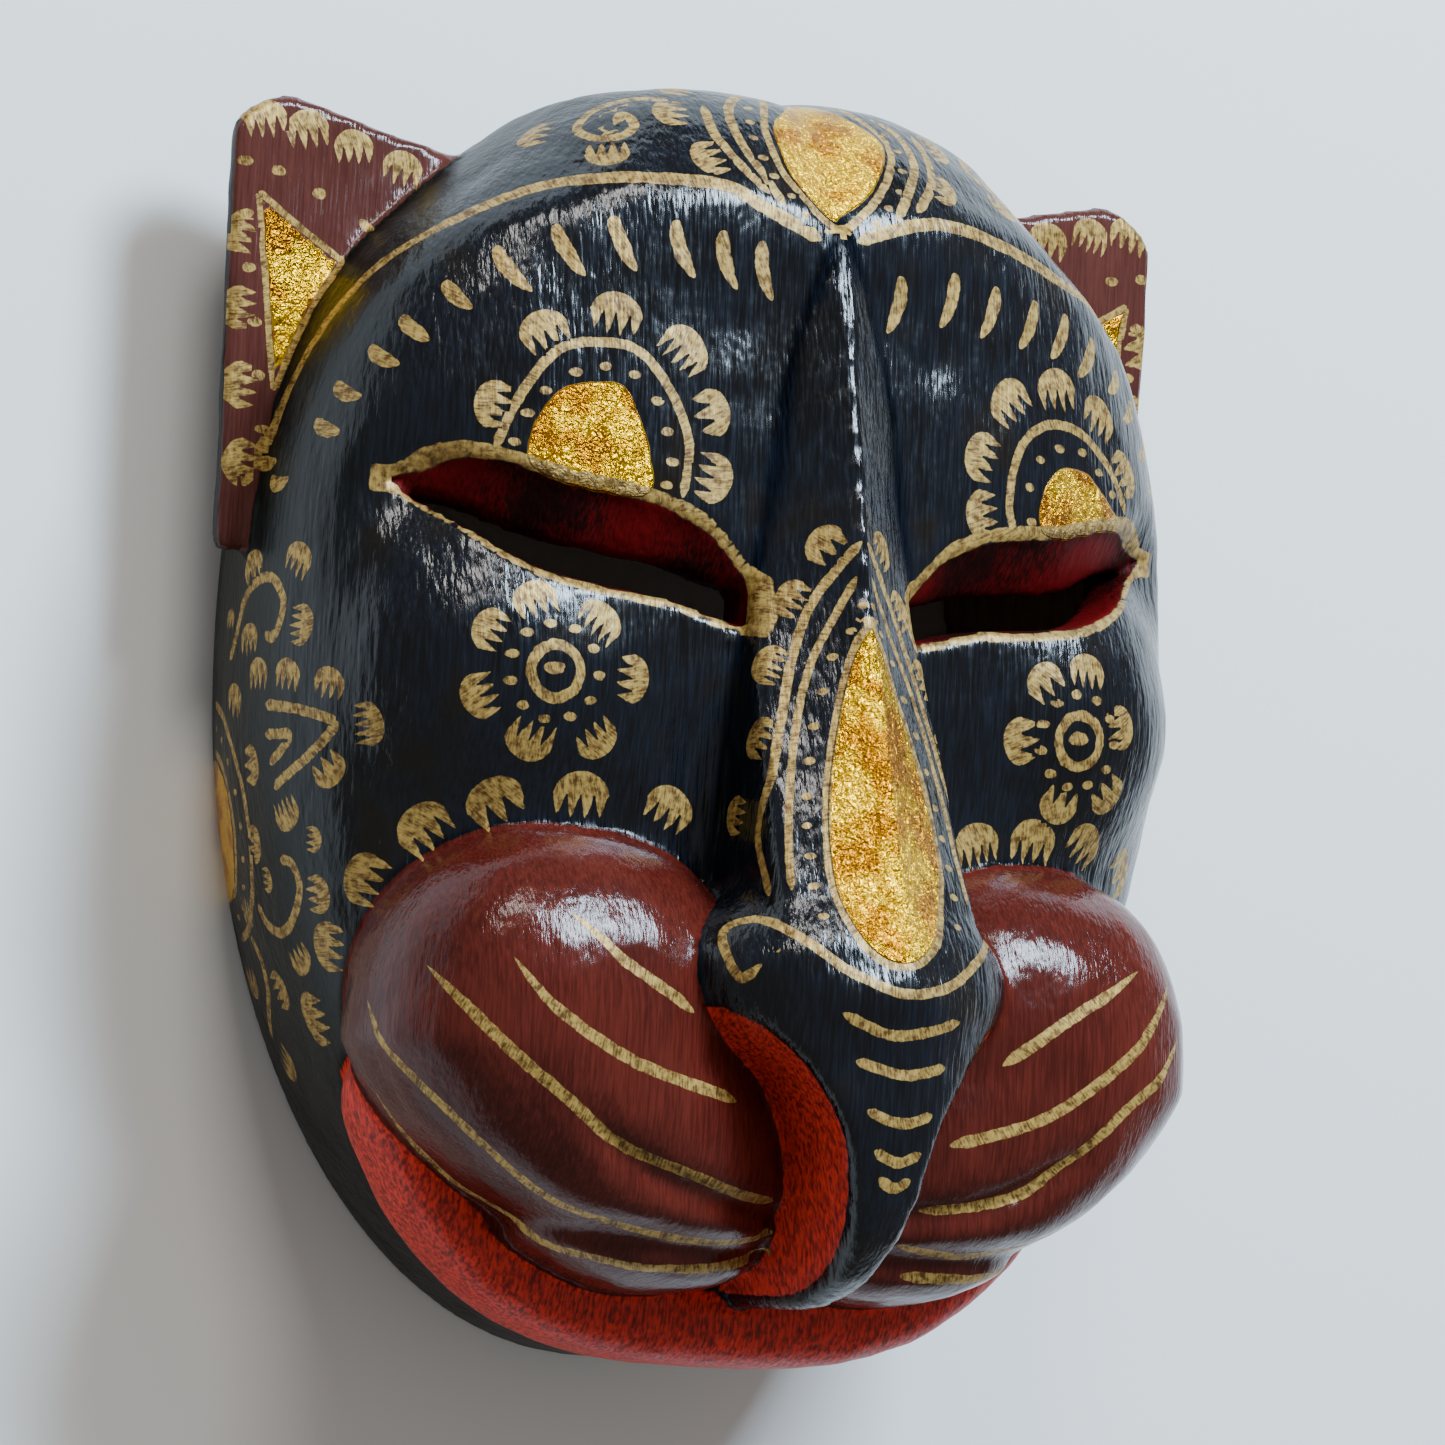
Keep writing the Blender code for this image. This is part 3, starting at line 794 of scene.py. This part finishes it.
SCROLL = ((-25, 103, 53), (-30, 103.5, 50), (-35, 102.5, 49), (-39, 100, 49), (-41.5, 97, 51),
          (-39.5, 95, 55), (-36, 95.5, 57), (-33, 98, 56), (-34, 100, 53), (-36.5, 98.5, 55))
CROWN_COMBS = (((-46, 97, 44), (-36, 97)), ((-21, 107, 49), (-12, 104)), ((-26, 101, 56), (-12, 100)),
               ((-23, 93, 65), (-13, 95)), ((-39, 92, 58), (-37, 98)))
stroke(CROWN_LINE, 0.85, 0.5, 0.5)
for places in CROWN_LINES:
    stroke(places, 1.0)
for place in CROWN_DOTS:
    dot(place, 0.85)
for side in (1, -1):
    stroke(on_side(SCROLL, side), LINE)
    for at, toward in CROWN_COMBS:
        comb(flipped(at, side), flipped(toward, side), 4.0)
print("marks on the crown:", len(CROWN_DOTS) + len(CROWN_LINES) + 2 * len(CROWN_COMBS) + 3)

# %% [markdown]
# ## Ears
# The ear is maroon, with a leaf triangle, dots along it and combs along its edges.

# %% Ear ornament
EAR_TRIANGLE = ((-87.5, 83), (-70, 72.2), (-82.3, 49.5))
EAR_DOTS = ((-90.3, 88), (-84, 87), (-76, 84), (-67, 79.5), (-61.5, 73), (-89.6, 79), (-88.4, 70),
            (-86.8, 61), (-85.4, 52), (-84.2, 43))
EAR_COMBS = (((-87, 95.5), (-85, 88)), ((-79, 94.5), (-77, 86)), ((-70, 92.5), (-69, 84)),
             ((-60.5, 90), (-61, 82)), ((-90, 76), (-80, 74)), ((-89.5, 63), (-80, 62)),
             ((-88.5, 50), (-79, 49)), ((-87.5, 37), (-79, 37)))


def on_ear_front(place, side):
    return (*flipped(place, side), EAR_FRONT)


for side in (1, -1):
    for start, end in combinations(EAR_TRIANGLE, 2):
        middle = ((start[0] + end[0]) / 2, (start[1] + end[1]) / 2)
        stroke([on_ear_front(place, side) for place in (start, middle, end)], 0.7, 0.6, 0.6)
    for place in EAR_DOTS:
        dot(on_ear_front(place, side), 1.15)
    for at, toward in EAR_COMBS:
        comb(on_ear_front(at, side), on_ear_front(toward, side), 4.1)
print("combs on the ears:", 2 * len(EAR_COMBS))

# %% [markdown]
# ## Side walls
# Half a rosette sits on the rim at each side of the face, with a chevron, two scrolls and combs
# between it and the pads.

# %% Rosette, chevron and scrolls
ROSETTE_OUT = -82         # how far its middle lies from the mask's middle
DOT_ARC = 17.3            # radius of its arc of dots
SCROLL_UP = ((-84, 4, 18), (-85, 10, 22), (-85, 14, 24), (-85, 17, 29), (-85, 17, 35), (-85, 13, 39),
             (-85, 9, 38), (-85, 7, 36), (-85, 8, 33))
SCROLL_LOW = ((-81, -30, 35), (-80, -30, 38), (-80, -33, 40), (-79, -36, 39), (-78, -40, 35),
              (-78, -42, 30), (-78, -40, 25), (-79, -37, 23))
CHEVRONS = (((-85, -4, 34), (-83, -5, 44), (-80, -7, 52)), ((-80, -7, 52), (-82, -12, 47), (-83, -18, 36)),
            ((-84, -9, 34), (-84, -9, 42)), ((-84, -9, 42), (-84, -11, 40), (-84, -14, 35)))
LOW_ARC = ((-75, -42, 15), (-75, -46, 18), (-72, -51, 17), (-69, -56, 12), (-68, -59, 9))
WALL_COMBS = (((-85, 19, 27), (-85, 12, 29)), ((-85, 20, 42), (-85, 12, 38)),
              ((-85, 7, 27), (-85, -1, 27)), ((-84, 9, 44), (-85, 9, 36)),
              ((-85, 1, 31), (-85, -6, 31)), ((-85, 0.5, 41), (-84, -6, 40)),
              ((-82, -1, 51), (-81, -8, 49)), ((-78, -7.5, 57.5), (-81, -7.5, 48)),
              ((-84, -3, 21), (-83, -9, 19)), ((-81, -15, 50), (-82, -9, 46)),
              ((-82, -22, 39), (-83, -15, 37)), ((-84, -14, 28), (-83, -14, 21)),
              ((-81, -27, 26), (-81, -26, 19)), ((-77, -38, 16), (-79, -31, 17)),
              ((-78, -35.5, 44), (-79, -35, 37)), ((-76, -46, 35), (-77, -40, 33)),
              ((-70, -49, 8), (-71, -43, 8)), ((-73, -51, 23), (-72, -52, 15)),
              ((-66, -63, 13), (-68, -58, 9)))
SMALL_COMBS = (((-80, -26.5, 45), (-81, -26, 39)), ((-80, -33, 29), (-80, -32, 24)),
               ((-84, 11, 17), (-84, 5, 17)))


def round_rosette(angle, radius, side):
    return (side * ROSETTE_OUT, ROSETTE[0] + radius * np.cos(angle), ROSETTE[1] + radius * np.sin(angle))


for side in (1, -1):
    for radius, half_width in ((13.2, 0.8), (21.5, 0.9)):
        angles = np.linspace(0.03, 0.97, 7) * np.pi
        stroke([round_rosette(angle, radius, side) for angle in angles], half_width)
    for angle in np.linspace(0.06, 0.94, 9) * np.pi:
        dot(round_rosette(angle, DOT_ARC, side), 0.8)
    for places in (SCROLL_UP, SCROLL_LOW, LOW_ARC) + CHEVRONS:
        stroke(on_side(places, side), 1.0, 1.2, 1.2)
    for at, toward in WALL_COMBS:
        comb(flipped(at, side), flipped(toward, side), 3.8)
    for at, toward in SMALL_COMBS:
        comb(flipped(at, side), flipped(toward, side), 2.4)
print("combs on the side walls:", 2 * len(WALL_COMBS + SMALL_COMBS))

# %% Handing the marks to the mesh
for name, values in (("motif", motif), ("mark", mark), ("style", style)):
    layer = mesh.attributes.new(name, "FLOAT_VECTOR", "CORNER")
    layer.data.foreach_set("vector", values.astype(np.float32).ravel())
print("faces with a mark:", int((mark[:, 0, 0] > 0).sum()))

# %% Hand carving and true size
CARVING = 0.28            # how far the knife wandered, in units


def unevenness(place):
    """Broad swellings and half as strong small ones, about 0."""
    return noise.noise(place / 11) + 0.5 * noise.noise(place / 4.5)


wander = np.array([unevenness(Vector(place)) for place in points])
in_front = (depth_in_wood < 2) & (pz > 2)
middle_y = (py.min() + py.max()) / 2
carved = points + normals * (CARVING * wander * in_front)[:, None]
mesh.vertices.foreach_set("co", ((carved - (0, middle_y, 0)) * UNIT).ravel())
mesh.update()
mesh.shade_smooth()
mask = bpy.data.objects.new("painted_mask", mesh)
bpy.context.scene.collection.objects.link(mask)
print(f"hand carving moves the surface by up to {CARVING * np.abs(wander).max():.2f} units")

# %% [markdown]
# ## Shader tools
# The painting needs some arithmetic in the shader. A Wire is a number on its way through the node
# tree: adding or multiplying two wires puts down a Math node and links it, so that the formulas
# below read as formulas.

# %% Arithmetic with nodes


class Wire:
    """A number that runs through the node tree."""

    def __init__(self, socket):
        self.socket = socket

    def __add__(self, other):
        return calc("ADD", self, other)

    def __sub__(self, other):
        return calc("SUBTRACT", self, other)

    def __mul__(self, other):
        return calc("MULTIPLY", self, other)

    def __truediv__(self, other):
        return calc("DIVIDE", self, other)

    __radd__ = __add__
    __rmul__ = __mul__

    def __rsub__(self, other):
        return calc("SUBTRACT", other, self)


def put(socket, value):
    """Links a wire or another node's socket to a socket, or sets it to a plain value."""
    value = value.socket if isinstance(value, Wire) else value
    if isinstance(value, bpy.types.NodeSocket):
        nodes.id_data.links.new(value, socket)
    else:
        socket.default_value = value


def calc(operation, *values):
    node = nodes.new("ShaderNodeMath")
    node.operation = operation
    for socket, value in zip(node.inputs, values):
        put(socket, value)
    return Wire(node.outputs[0])


def least(a, b):
    return calc("MINIMUM", a, b)


def most(a, b):
    return calc("MAXIMUM", a, b)


def absolute(a):
    return calc("ABSOLUTE", a)


def power(a, exponent):
    return calc("POWER", a, exponent)


def ramp(value, low, high):
    """0 below low, 1 above high, with a soft step between."""
    node = nodes.new("ShaderNodeMapRange")
    node.interpolation_type = "SMOOTHSTEP"
    for name, given in (("Value", value), ("From Min", low), ("From Max", high)):
        put(node.inputs[name], given)
    return Wire(node.outputs["Result"])


print("shader arithmetic is ready")

# %% Attributes, noise and colour mixing


def attribute(name):
    node = nodes.new("ShaderNodeAttribute")
    node.attribute_name = name
    return node


def number(name):
    """An attribute with one number for each point."""
    return Wire(attribute(name).outputs["Fac"])


def parts(name):
    """The three numbers of a vector attribute."""
    node = nodes.new("ShaderNodeSeparateXYZ")
    put(node.inputs[0], attribute(name).outputs["Vector"])
    return [Wire(socket) for socket in node.outputs]


def grain(size, detail=2.0, roughness=0.5, distortion=0.0):
    """Noise about 0.5, in the object's own space. size is that of its features, in units."""
    where = nodes.new("ShaderNodeTexCoord").outputs["Object"]
    scaled = nodes.new("ShaderNodeMapping")
    put(scaled.inputs["Vector"], where)
    scaled.inputs["Scale"].default_value = [1 / (UNIT * s) for s in size]
    node = nodes.new("ShaderNodeTexNoise")
    put(node.inputs["Vector"], scaled.outputs["Vector"])
    node.inputs["Scale"].default_value = 1.0
    node.inputs["Detail"].default_value = detail
    node.inputs["Roughness"].default_value = roughness
    node.inputs["Distortion"].default_value = distortion
    return Wire(node.outputs["Fac"])


def mix(share, first, second):
    """The first colour, going over to the second as share goes from 0 to 1."""
    node = nodes.new("ShaderNodeMix")
    node.data_type = "RGBA"
    sockets = {socket.identifier: socket for socket in node.inputs}
    put(sockets["Factor_Float"], share)
    for identifier, colour in (("A_Color", first), ("B_Color", second)):
        put(sockets[identifier], (*colour, 1.0) if isinstance(colour, tuple) else colour)
    return next(socket for socket in node.outputs if socket.identifier == "Result_Color")


def blend(share, first, second):
    """The same for numbers."""
    return first + share * (second - first) if isinstance(first, Wire) else share * (second - first) + first


print("noise and colour tools are ready")

# %% [markdown]
# ## Paint
# One material carries the whole painting. It first works out where gold paint lies, from the mark
# that each face belongs to, and then builds the colours up in the painter's order: black lacquer,
# maroon and red, leaf, and gold on top. Brush lines and the tool's flats are bumps in the lacquer.

# %% Start of the painted material
paint = bpy.data.materials.new("batik lacquer on wood")
paint.use_nodes = True
nodes = paint.node_tree.nodes
u, v = parts("motif")[:2]
kind, length, half_width = parts("mark")
seed, first_number, second_number = parts("style")
wobble = grain((2.2, 2.2, 2.2), 2.0) - 0.5
fine = grain((0.6, 0.6, 0.6), 2.0) - 0.5
print("material:", paint.name)

# %% Shapes of the marks


def is_kind(wanted):
    return calc("COMPARE", kind, float(wanted), 0.1)


def clamped(value):
    return least(most(value, 0.0), 1.0)


distance = power(u * u + v * v, 0.5)
ends = least(clamped(u / first_number), clamped((length - u) / second_number))
stroke_shape = half_width * power(ends, 0.5) * (wobble * 0.5 + 1.0) - absolute(v)

place = clamped(v / length + 0.5)
bent = u - first_number * power(absolute(place - 0.6) * 2.0, 2.0)
comma_width = power(place, 0.45) * power(1.0 - place, 0.3) * 1.45
comma_shape = half_width * comma_width * (wobble * 0.6 + 1.0) - absolute(bent)

dot_shape = half_width - power(u * u * 0.62 + v * v * 1.5, 0.5) * (wobble * 0.9 + 1.0)
ring_shape = half_width - absolute(distance - length * 0.5 + wobble * 0.8)

up = v / half_width * 1.12
across = u / half_width + first_number * up * up + wobble * 0.12
fingers = calc("FLOOR", second_number * 0.7 + 4.5)
lower = most(0.0 - up, 0.0)
rounded = 1.0 - power(across * across + power(most(up, 0.0) * 1.05, 2.0), 0.5) - lower * 0.03
finger = calc("FRACT", (across * 0.5 + 0.5) * fingers)
off_finger = absolute(finger - 0.5) * 2.0
tip = across * across * 0.12 - 0.82 + wobble * 0.6
opening = clamped((up - tip) / (0.12 - tip))
finger_width = power(opening, 0.65) + ramp(up, 0.0, 0.2) * 0.5
comb_shape = half_width * least(rounded, (finger_width - off_finger) / fingers)

shape = (is_kind(STROKE) * stroke_shape + is_kind(COMMA) * comma_shape + is_kind(DOT) * dot_shape
         + is_kind(RING) * ring_shape + is_kind(COMB) * comb_shape)
eye_line = number("eye_line")
gold = most(ramp(shape + fine * 0.25, 0.02, 0.2) * ramp(kind, 0.4, 0.6),
            ramp(eye_line + wobble * 0.7, 0.0, 0.25))
print("nodes so far:", len(nodes))

# %% Patches of colour
pad = ramp(number("pad") + wobble * 0.5, -0.1, 0.2)
lips = ramp(number("lip") + wobble * 1.2, -0.1, 0.3)
beak_side = ramp(number("beak_side") + wobble * 1.0, -0.1, 0.3)
ear_face = ramp(number("ear") + wobble * 0.5, -0.1, 0.2)
eye_wall = ramp(number("eye_wall"), -0.1, 0.2)
leaf_edge = number("leaf")
leafed = ramp(leaf_edge + wobble * 0.5, -0.1, 0.15)
bare_red = most(lips, beak_side) * (1.0 - pad)
maroon = most(pad, ear_face)

# %% Lacquer colours
streaks = grain((0.45, 9.0, 0.8), 2.0, 0.6)
brush_lines = grain((1.2, 16.0, 1.8), 1.0, 0.55)
place_in_mask = nodes.new("ShaderNodeSeparateXYZ")
put(place_in_mask.inputs[0], nodes.new("ShaderNodeTexCoord").outputs["Object"])
satin = 1.0 - ramp(Wire(place_in_mask.outputs["Z"]) / UNIT, 34.0, 60.0)
clouds = grain((16.0, 22.0, 16.0), 2.0)
specks = grain((0.7, 1.6, 0.7), 2.0)
brushing = ramp(streaks * 0.6 + clouds * 0.4, 0.35, 0.68)
black_paint = mix(brushing, (0.0015, 0.0015, 0.002), (0.004, 0.007, 0.013))
black_paint = mix(ramp(clouds, 0.55, 0.75), black_paint, (0.006, 0.004, 0.002))
black_paint = mix(satin, black_paint, mix(brushing, (0.0015, 0.002, 0.0015), (0.006, 0.008, 0.006)))
maroon_paint = mix(brushing, (0.045, 0.006, 0.004), (0.095, 0.014, 0.009))
red_patches = ramp(streaks * 0.5 + specks * 0.5, 0.36, 0.62)
red_paint = mix(red_patches, (0.18, 0.009, 0.006), (0.72, 0.035, 0.017))
# The walls of the eye cuts are red paint, in a much darker red than the lip. The red is their own; the
# darkness is painted shade inside the cuts.
wall_patches = ramp(streaks * 0.4 + clouds * 0.6, 0.38, 0.62)
wall_red_and_shade = mix(wall_patches, (0.010, 0.0005, 0.0005), (0.10, 0.001, 0.002))
ear_paint = mix(brushing, (0.055, 0.015, 0.012), (0.090, 0.026, 0.020))
colour = mix(pad, black_paint, maroon_paint)
colour = mix(ear_face * (1.0 - pad), colour, ear_paint)
colour = mix(bare_red, colour, red_paint)
colour = mix(eye_wall, colour, wall_red_and_shade)

# %% Leaf and gold paint
crinkle = grain((1.5, 1.5, 1.5), 2.0, 0.6, 1.6)
crease = 1.0 - ramp(absolute(crinkle - 0.5), 0.0, 0.035)
leaf_tone = grain((7.0, 7.0, 7.0), 2.0)
leaf_colour = mix(ramp(leaf_tone, 0.40, 0.58), (0.44, 0.17, 0.0), (0.80, 0.45, 0.0))
leaf_colour = mix(crease * 0.6, leaf_colour, (0.26, 0.08, 0.0))
colour = mix(leafed, colour, leaf_colour)

mottle = grain((1.4, 1.4, 1.4), 2.0, 0.65)
bristles = nodes.new("ShaderNodeTexNoise")
bristles.inputs["Scale"].default_value = 1.0
bristle_place = nodes.new("ShaderNodeCombineXYZ")
for socket, value in zip(bristle_place.inputs, (u * 3.2 + v * 0.9, v * 0.5, seed)):
    put(socket, value)
put(bristles.inputs["Vector"], bristle_place.outputs[0])
hatching = Wire(bristles.outputs["Fac"])
gold_patches = ramp(mottle * 0.55 + hatching * 0.45, 0.36, 0.62)
gold_paint = mix(gold_patches, (0.09, 0.040, 0.008), (0.45, 0.29, 0.075))
colour = mix(gold, colour, gold_paint)

# %% Gloss and relief
shader = nodes["Principled BSDF"]
gloss = blend(ramp(streaks, 0.35, 0.7), 0.12, 0.24)
for share, roughness in ((maroon, 0.14), (satin * (1.0 - maroon), 0.4), (bare_red, 0.45),
                         (eye_wall, 0.6), (leafed, 0.26), (gold, 0.42)):
    gloss = blend(share, gloss, roughness)
sheen = blend(satin, 0.38, 0.2)
# The eye walls get almost no reflection, which is painted shade inside the cuts.
for share, strength in ((maroon, 0.24), (eye_wall, 0.08), (bare_red, 0.25)):
    sheen = blend(share, sheen, strength)
# Painted shade: the lacquer reflects less in the creases between forms.
sheen = sheen * ramp(number("fold"), 0.4, 2.4)
lumps = grain((2.0, 3.2, 2.0), 1.0, 0.6)
facets = grain((8.0, 13.0, 8.0), 0.0)
on_pad = ramp(number("pad"), 0.0, 0.6)
on_leaf = ramp(leaf_edge, 0.0, 0.3)
relief = streaks * 0.10 + brush_lines * blend(on_pad, 0.22, 0.07) + lumps * 0.14 + facets * 0.6
relief = relief + on_leaf * (crinkle * 0.7 - 0.1)
bump = nodes.new("ShaderNodeBump")
bump.inputs["Strength"].default_value = 1.0
bump.inputs["Distance"].default_value = UNIT
put(bump.inputs["Height"], relief)
put(shader.inputs["Base Color"], colour)
put(shader.inputs["Roughness"], gloss)
put(shader.inputs["Metallic"], most(leafed * (1.0 - gold), gold * 0.3))
put(shader.inputs["Normal"], bump.outputs["Normal"])
put(shader.inputs["Specular IOR Level"], sheen)
mesh.materials.append(paint)
print("nodes in the painting:", len(nodes))

# %% [markdown]
# ## Back of the mask
# The photograph doesn't show the back. Masks of this kind are left as bare wood there, cut with a
# gouge and darkened by handling, so the hollow and the rim get plain wood with gouge marks.

# %% Bare wood
wood = bpy.data.materials.new("bare carved wood")
wood.use_nodes = True
nodes = wood.node_tree.nodes
rings = grain((2.0, 26.0, 2.6), 4.0, 0.6, 0.6)
fibre = grain((0.4, 12.0, 0.5), 2.0)
gouge = grain((5.0, 14.0, 7.0), 1.0)
tone = ramp(rings * 0.6 + fibre * 0.4, 0.32, 0.66)
shader = nodes["Principled BSDF"]
put(shader.inputs["Base Color"], mix(tone, (0.20, 0.105, 0.050), (0.36, 0.215, 0.115)))
put(shader.inputs["Roughness"], blend(tone, 0.62, 0.78))
bump = nodes.new("ShaderNodeBump")
bump.inputs["Distance"].default_value = UNIT
put(bump.inputs["Height"], gouge * 1.6 + fibre * 0.15)
put(shader.inputs["Normal"], bump.outputs["Normal"])
mesh.materials.append(wood)
bare = (depth_in_wood > WALL - 1.0) | ((pz < 0.05) & (depth_in_wood > 1.0))
bare_faces = bare[corners].all(axis=1)
mesh.polygons.foreach_set("material_index", bare_faces.astype(np.int32))
print("bare faces:", int(bare_faces.sum()))

# %% [markdown]
# ## Floor, light and camera
# The mask lies on a pale floor. A soft bluish light above the brow gives the sheen on the lacquer,
# as a window does, and a weaker warm one beyond the crown lights the ears and the left brow.

# %% Floor
bpy.ops.mesh.primitive_plane_add(size=6, location=(0, 0, mask_low.z))
floor = bpy.context.object
floor.name = "floor"
pale = bpy.data.materials.new("pale floor")
pale.use_nodes = True
floor_shader = pale.node_tree.nodes["Principled BSDF"]
floor_shader.inputs["Base Color"].default_value = (0.86, 0.86, 0.85, 1)
floor_shader.inputs["Roughness"].default_value = 0.9
floor.data.materials.append(pale)

# %% Lights
MASK_MIDDLE = (0, 0, 0.05)


def soft_light(name, place, size, watts, tint):
    """A rectangular light that looks at the middle of the mask."""
    lamp = bpy.data.lights.new(name, "AREA")
    lamp.shape = "RECTANGLE"
    lamp.size, lamp.size_y = size
    lamp.energy = watts
    lamp.color = tint
    thing = bpy.data.objects.new(name, lamp)
    bpy.context.scene.collection.objects.link(thing)
    aim = Vector(MASK_MIDDLE) - Vector(place)
    thing.matrix_world = Matrix.Translation(place) @ aim.to_track_quat("-Z", "Y").to_matrix().to_4x4()


soft_light("window", (0.45, 0.85, 1.05), (0.55, 0.34), 50, (0.66, 0.83, 1.0))
soft_light("room side", (-0.35, 1.10, 0.90), (0.4, 0.3), 9, (1.0, 0.97, 0.92))
world = bpy.data.worlds.new("studio")
bpy.context.scene.world = world
world.use_nodes = True
background = world.node_tree.nodes["Background"]
background.inputs["Color"].default_value = (1.0, 0.98, 0.95, 1)
background.inputs["Strength"].default_value = 0.32

# %% Camera
PHOTO_SIZE = 1445         # pixels across the photograph
FOCAL_PIXELS = 8000       # focal length of its camera, in those pixels
SENSOR = 36               # mm

camera_data = bpy.data.cameras.new("camera")
camera_data.lens = FOCAL_PIXELS / PHOTO_SIZE * SENSOR
camera_data.sensor_width = SENSOR
camera = bpy.data.objects.new("camera", camera_data)
bpy.context.scene.collection.objects.link(camera)
bpy.context.scene.camera = camera


def standing(azimuth, elevation, roll):
    """Axes of a camera before a mask that hangs upright: right, up and back."""
    level = np.cos(elevation)
    back = np.array([np.sin(azimuth) * level, -np.cos(azimuth) * level, np.sin(elevation)])
    right = np.cross([0, 0, 1.0], back)
    right /= np.linalg.norm(right)
    up = np.cross(back, right)
    rolled_right = np.cos(roll) * right + np.sin(roll) * up
    rolled_up = np.cos(roll) * up - np.sin(roll) * right
    return np.array([rolled_right, rolled_up, back])


AZIMUTH, ELEVATION, ROLL = np.radians((-30, -4, 3.3))
CAMERA_PLACE = (-685.8, -94.6, 1227.9)    # in units
axes = [(across, back, -up) for across, up, back in standing(AZIMUTH, ELEVATION, ROLL)]
turn = Matrix(axes).transposed().to_4x4()
camera.matrix_world = Matrix.Translation(Vector(CAMERA_PLACE) * UNIT) @ turn
print("camera at", [round(value, 3) for value in camera.location])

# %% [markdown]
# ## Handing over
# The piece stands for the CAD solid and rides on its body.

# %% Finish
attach(mask, "root")
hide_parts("mask")
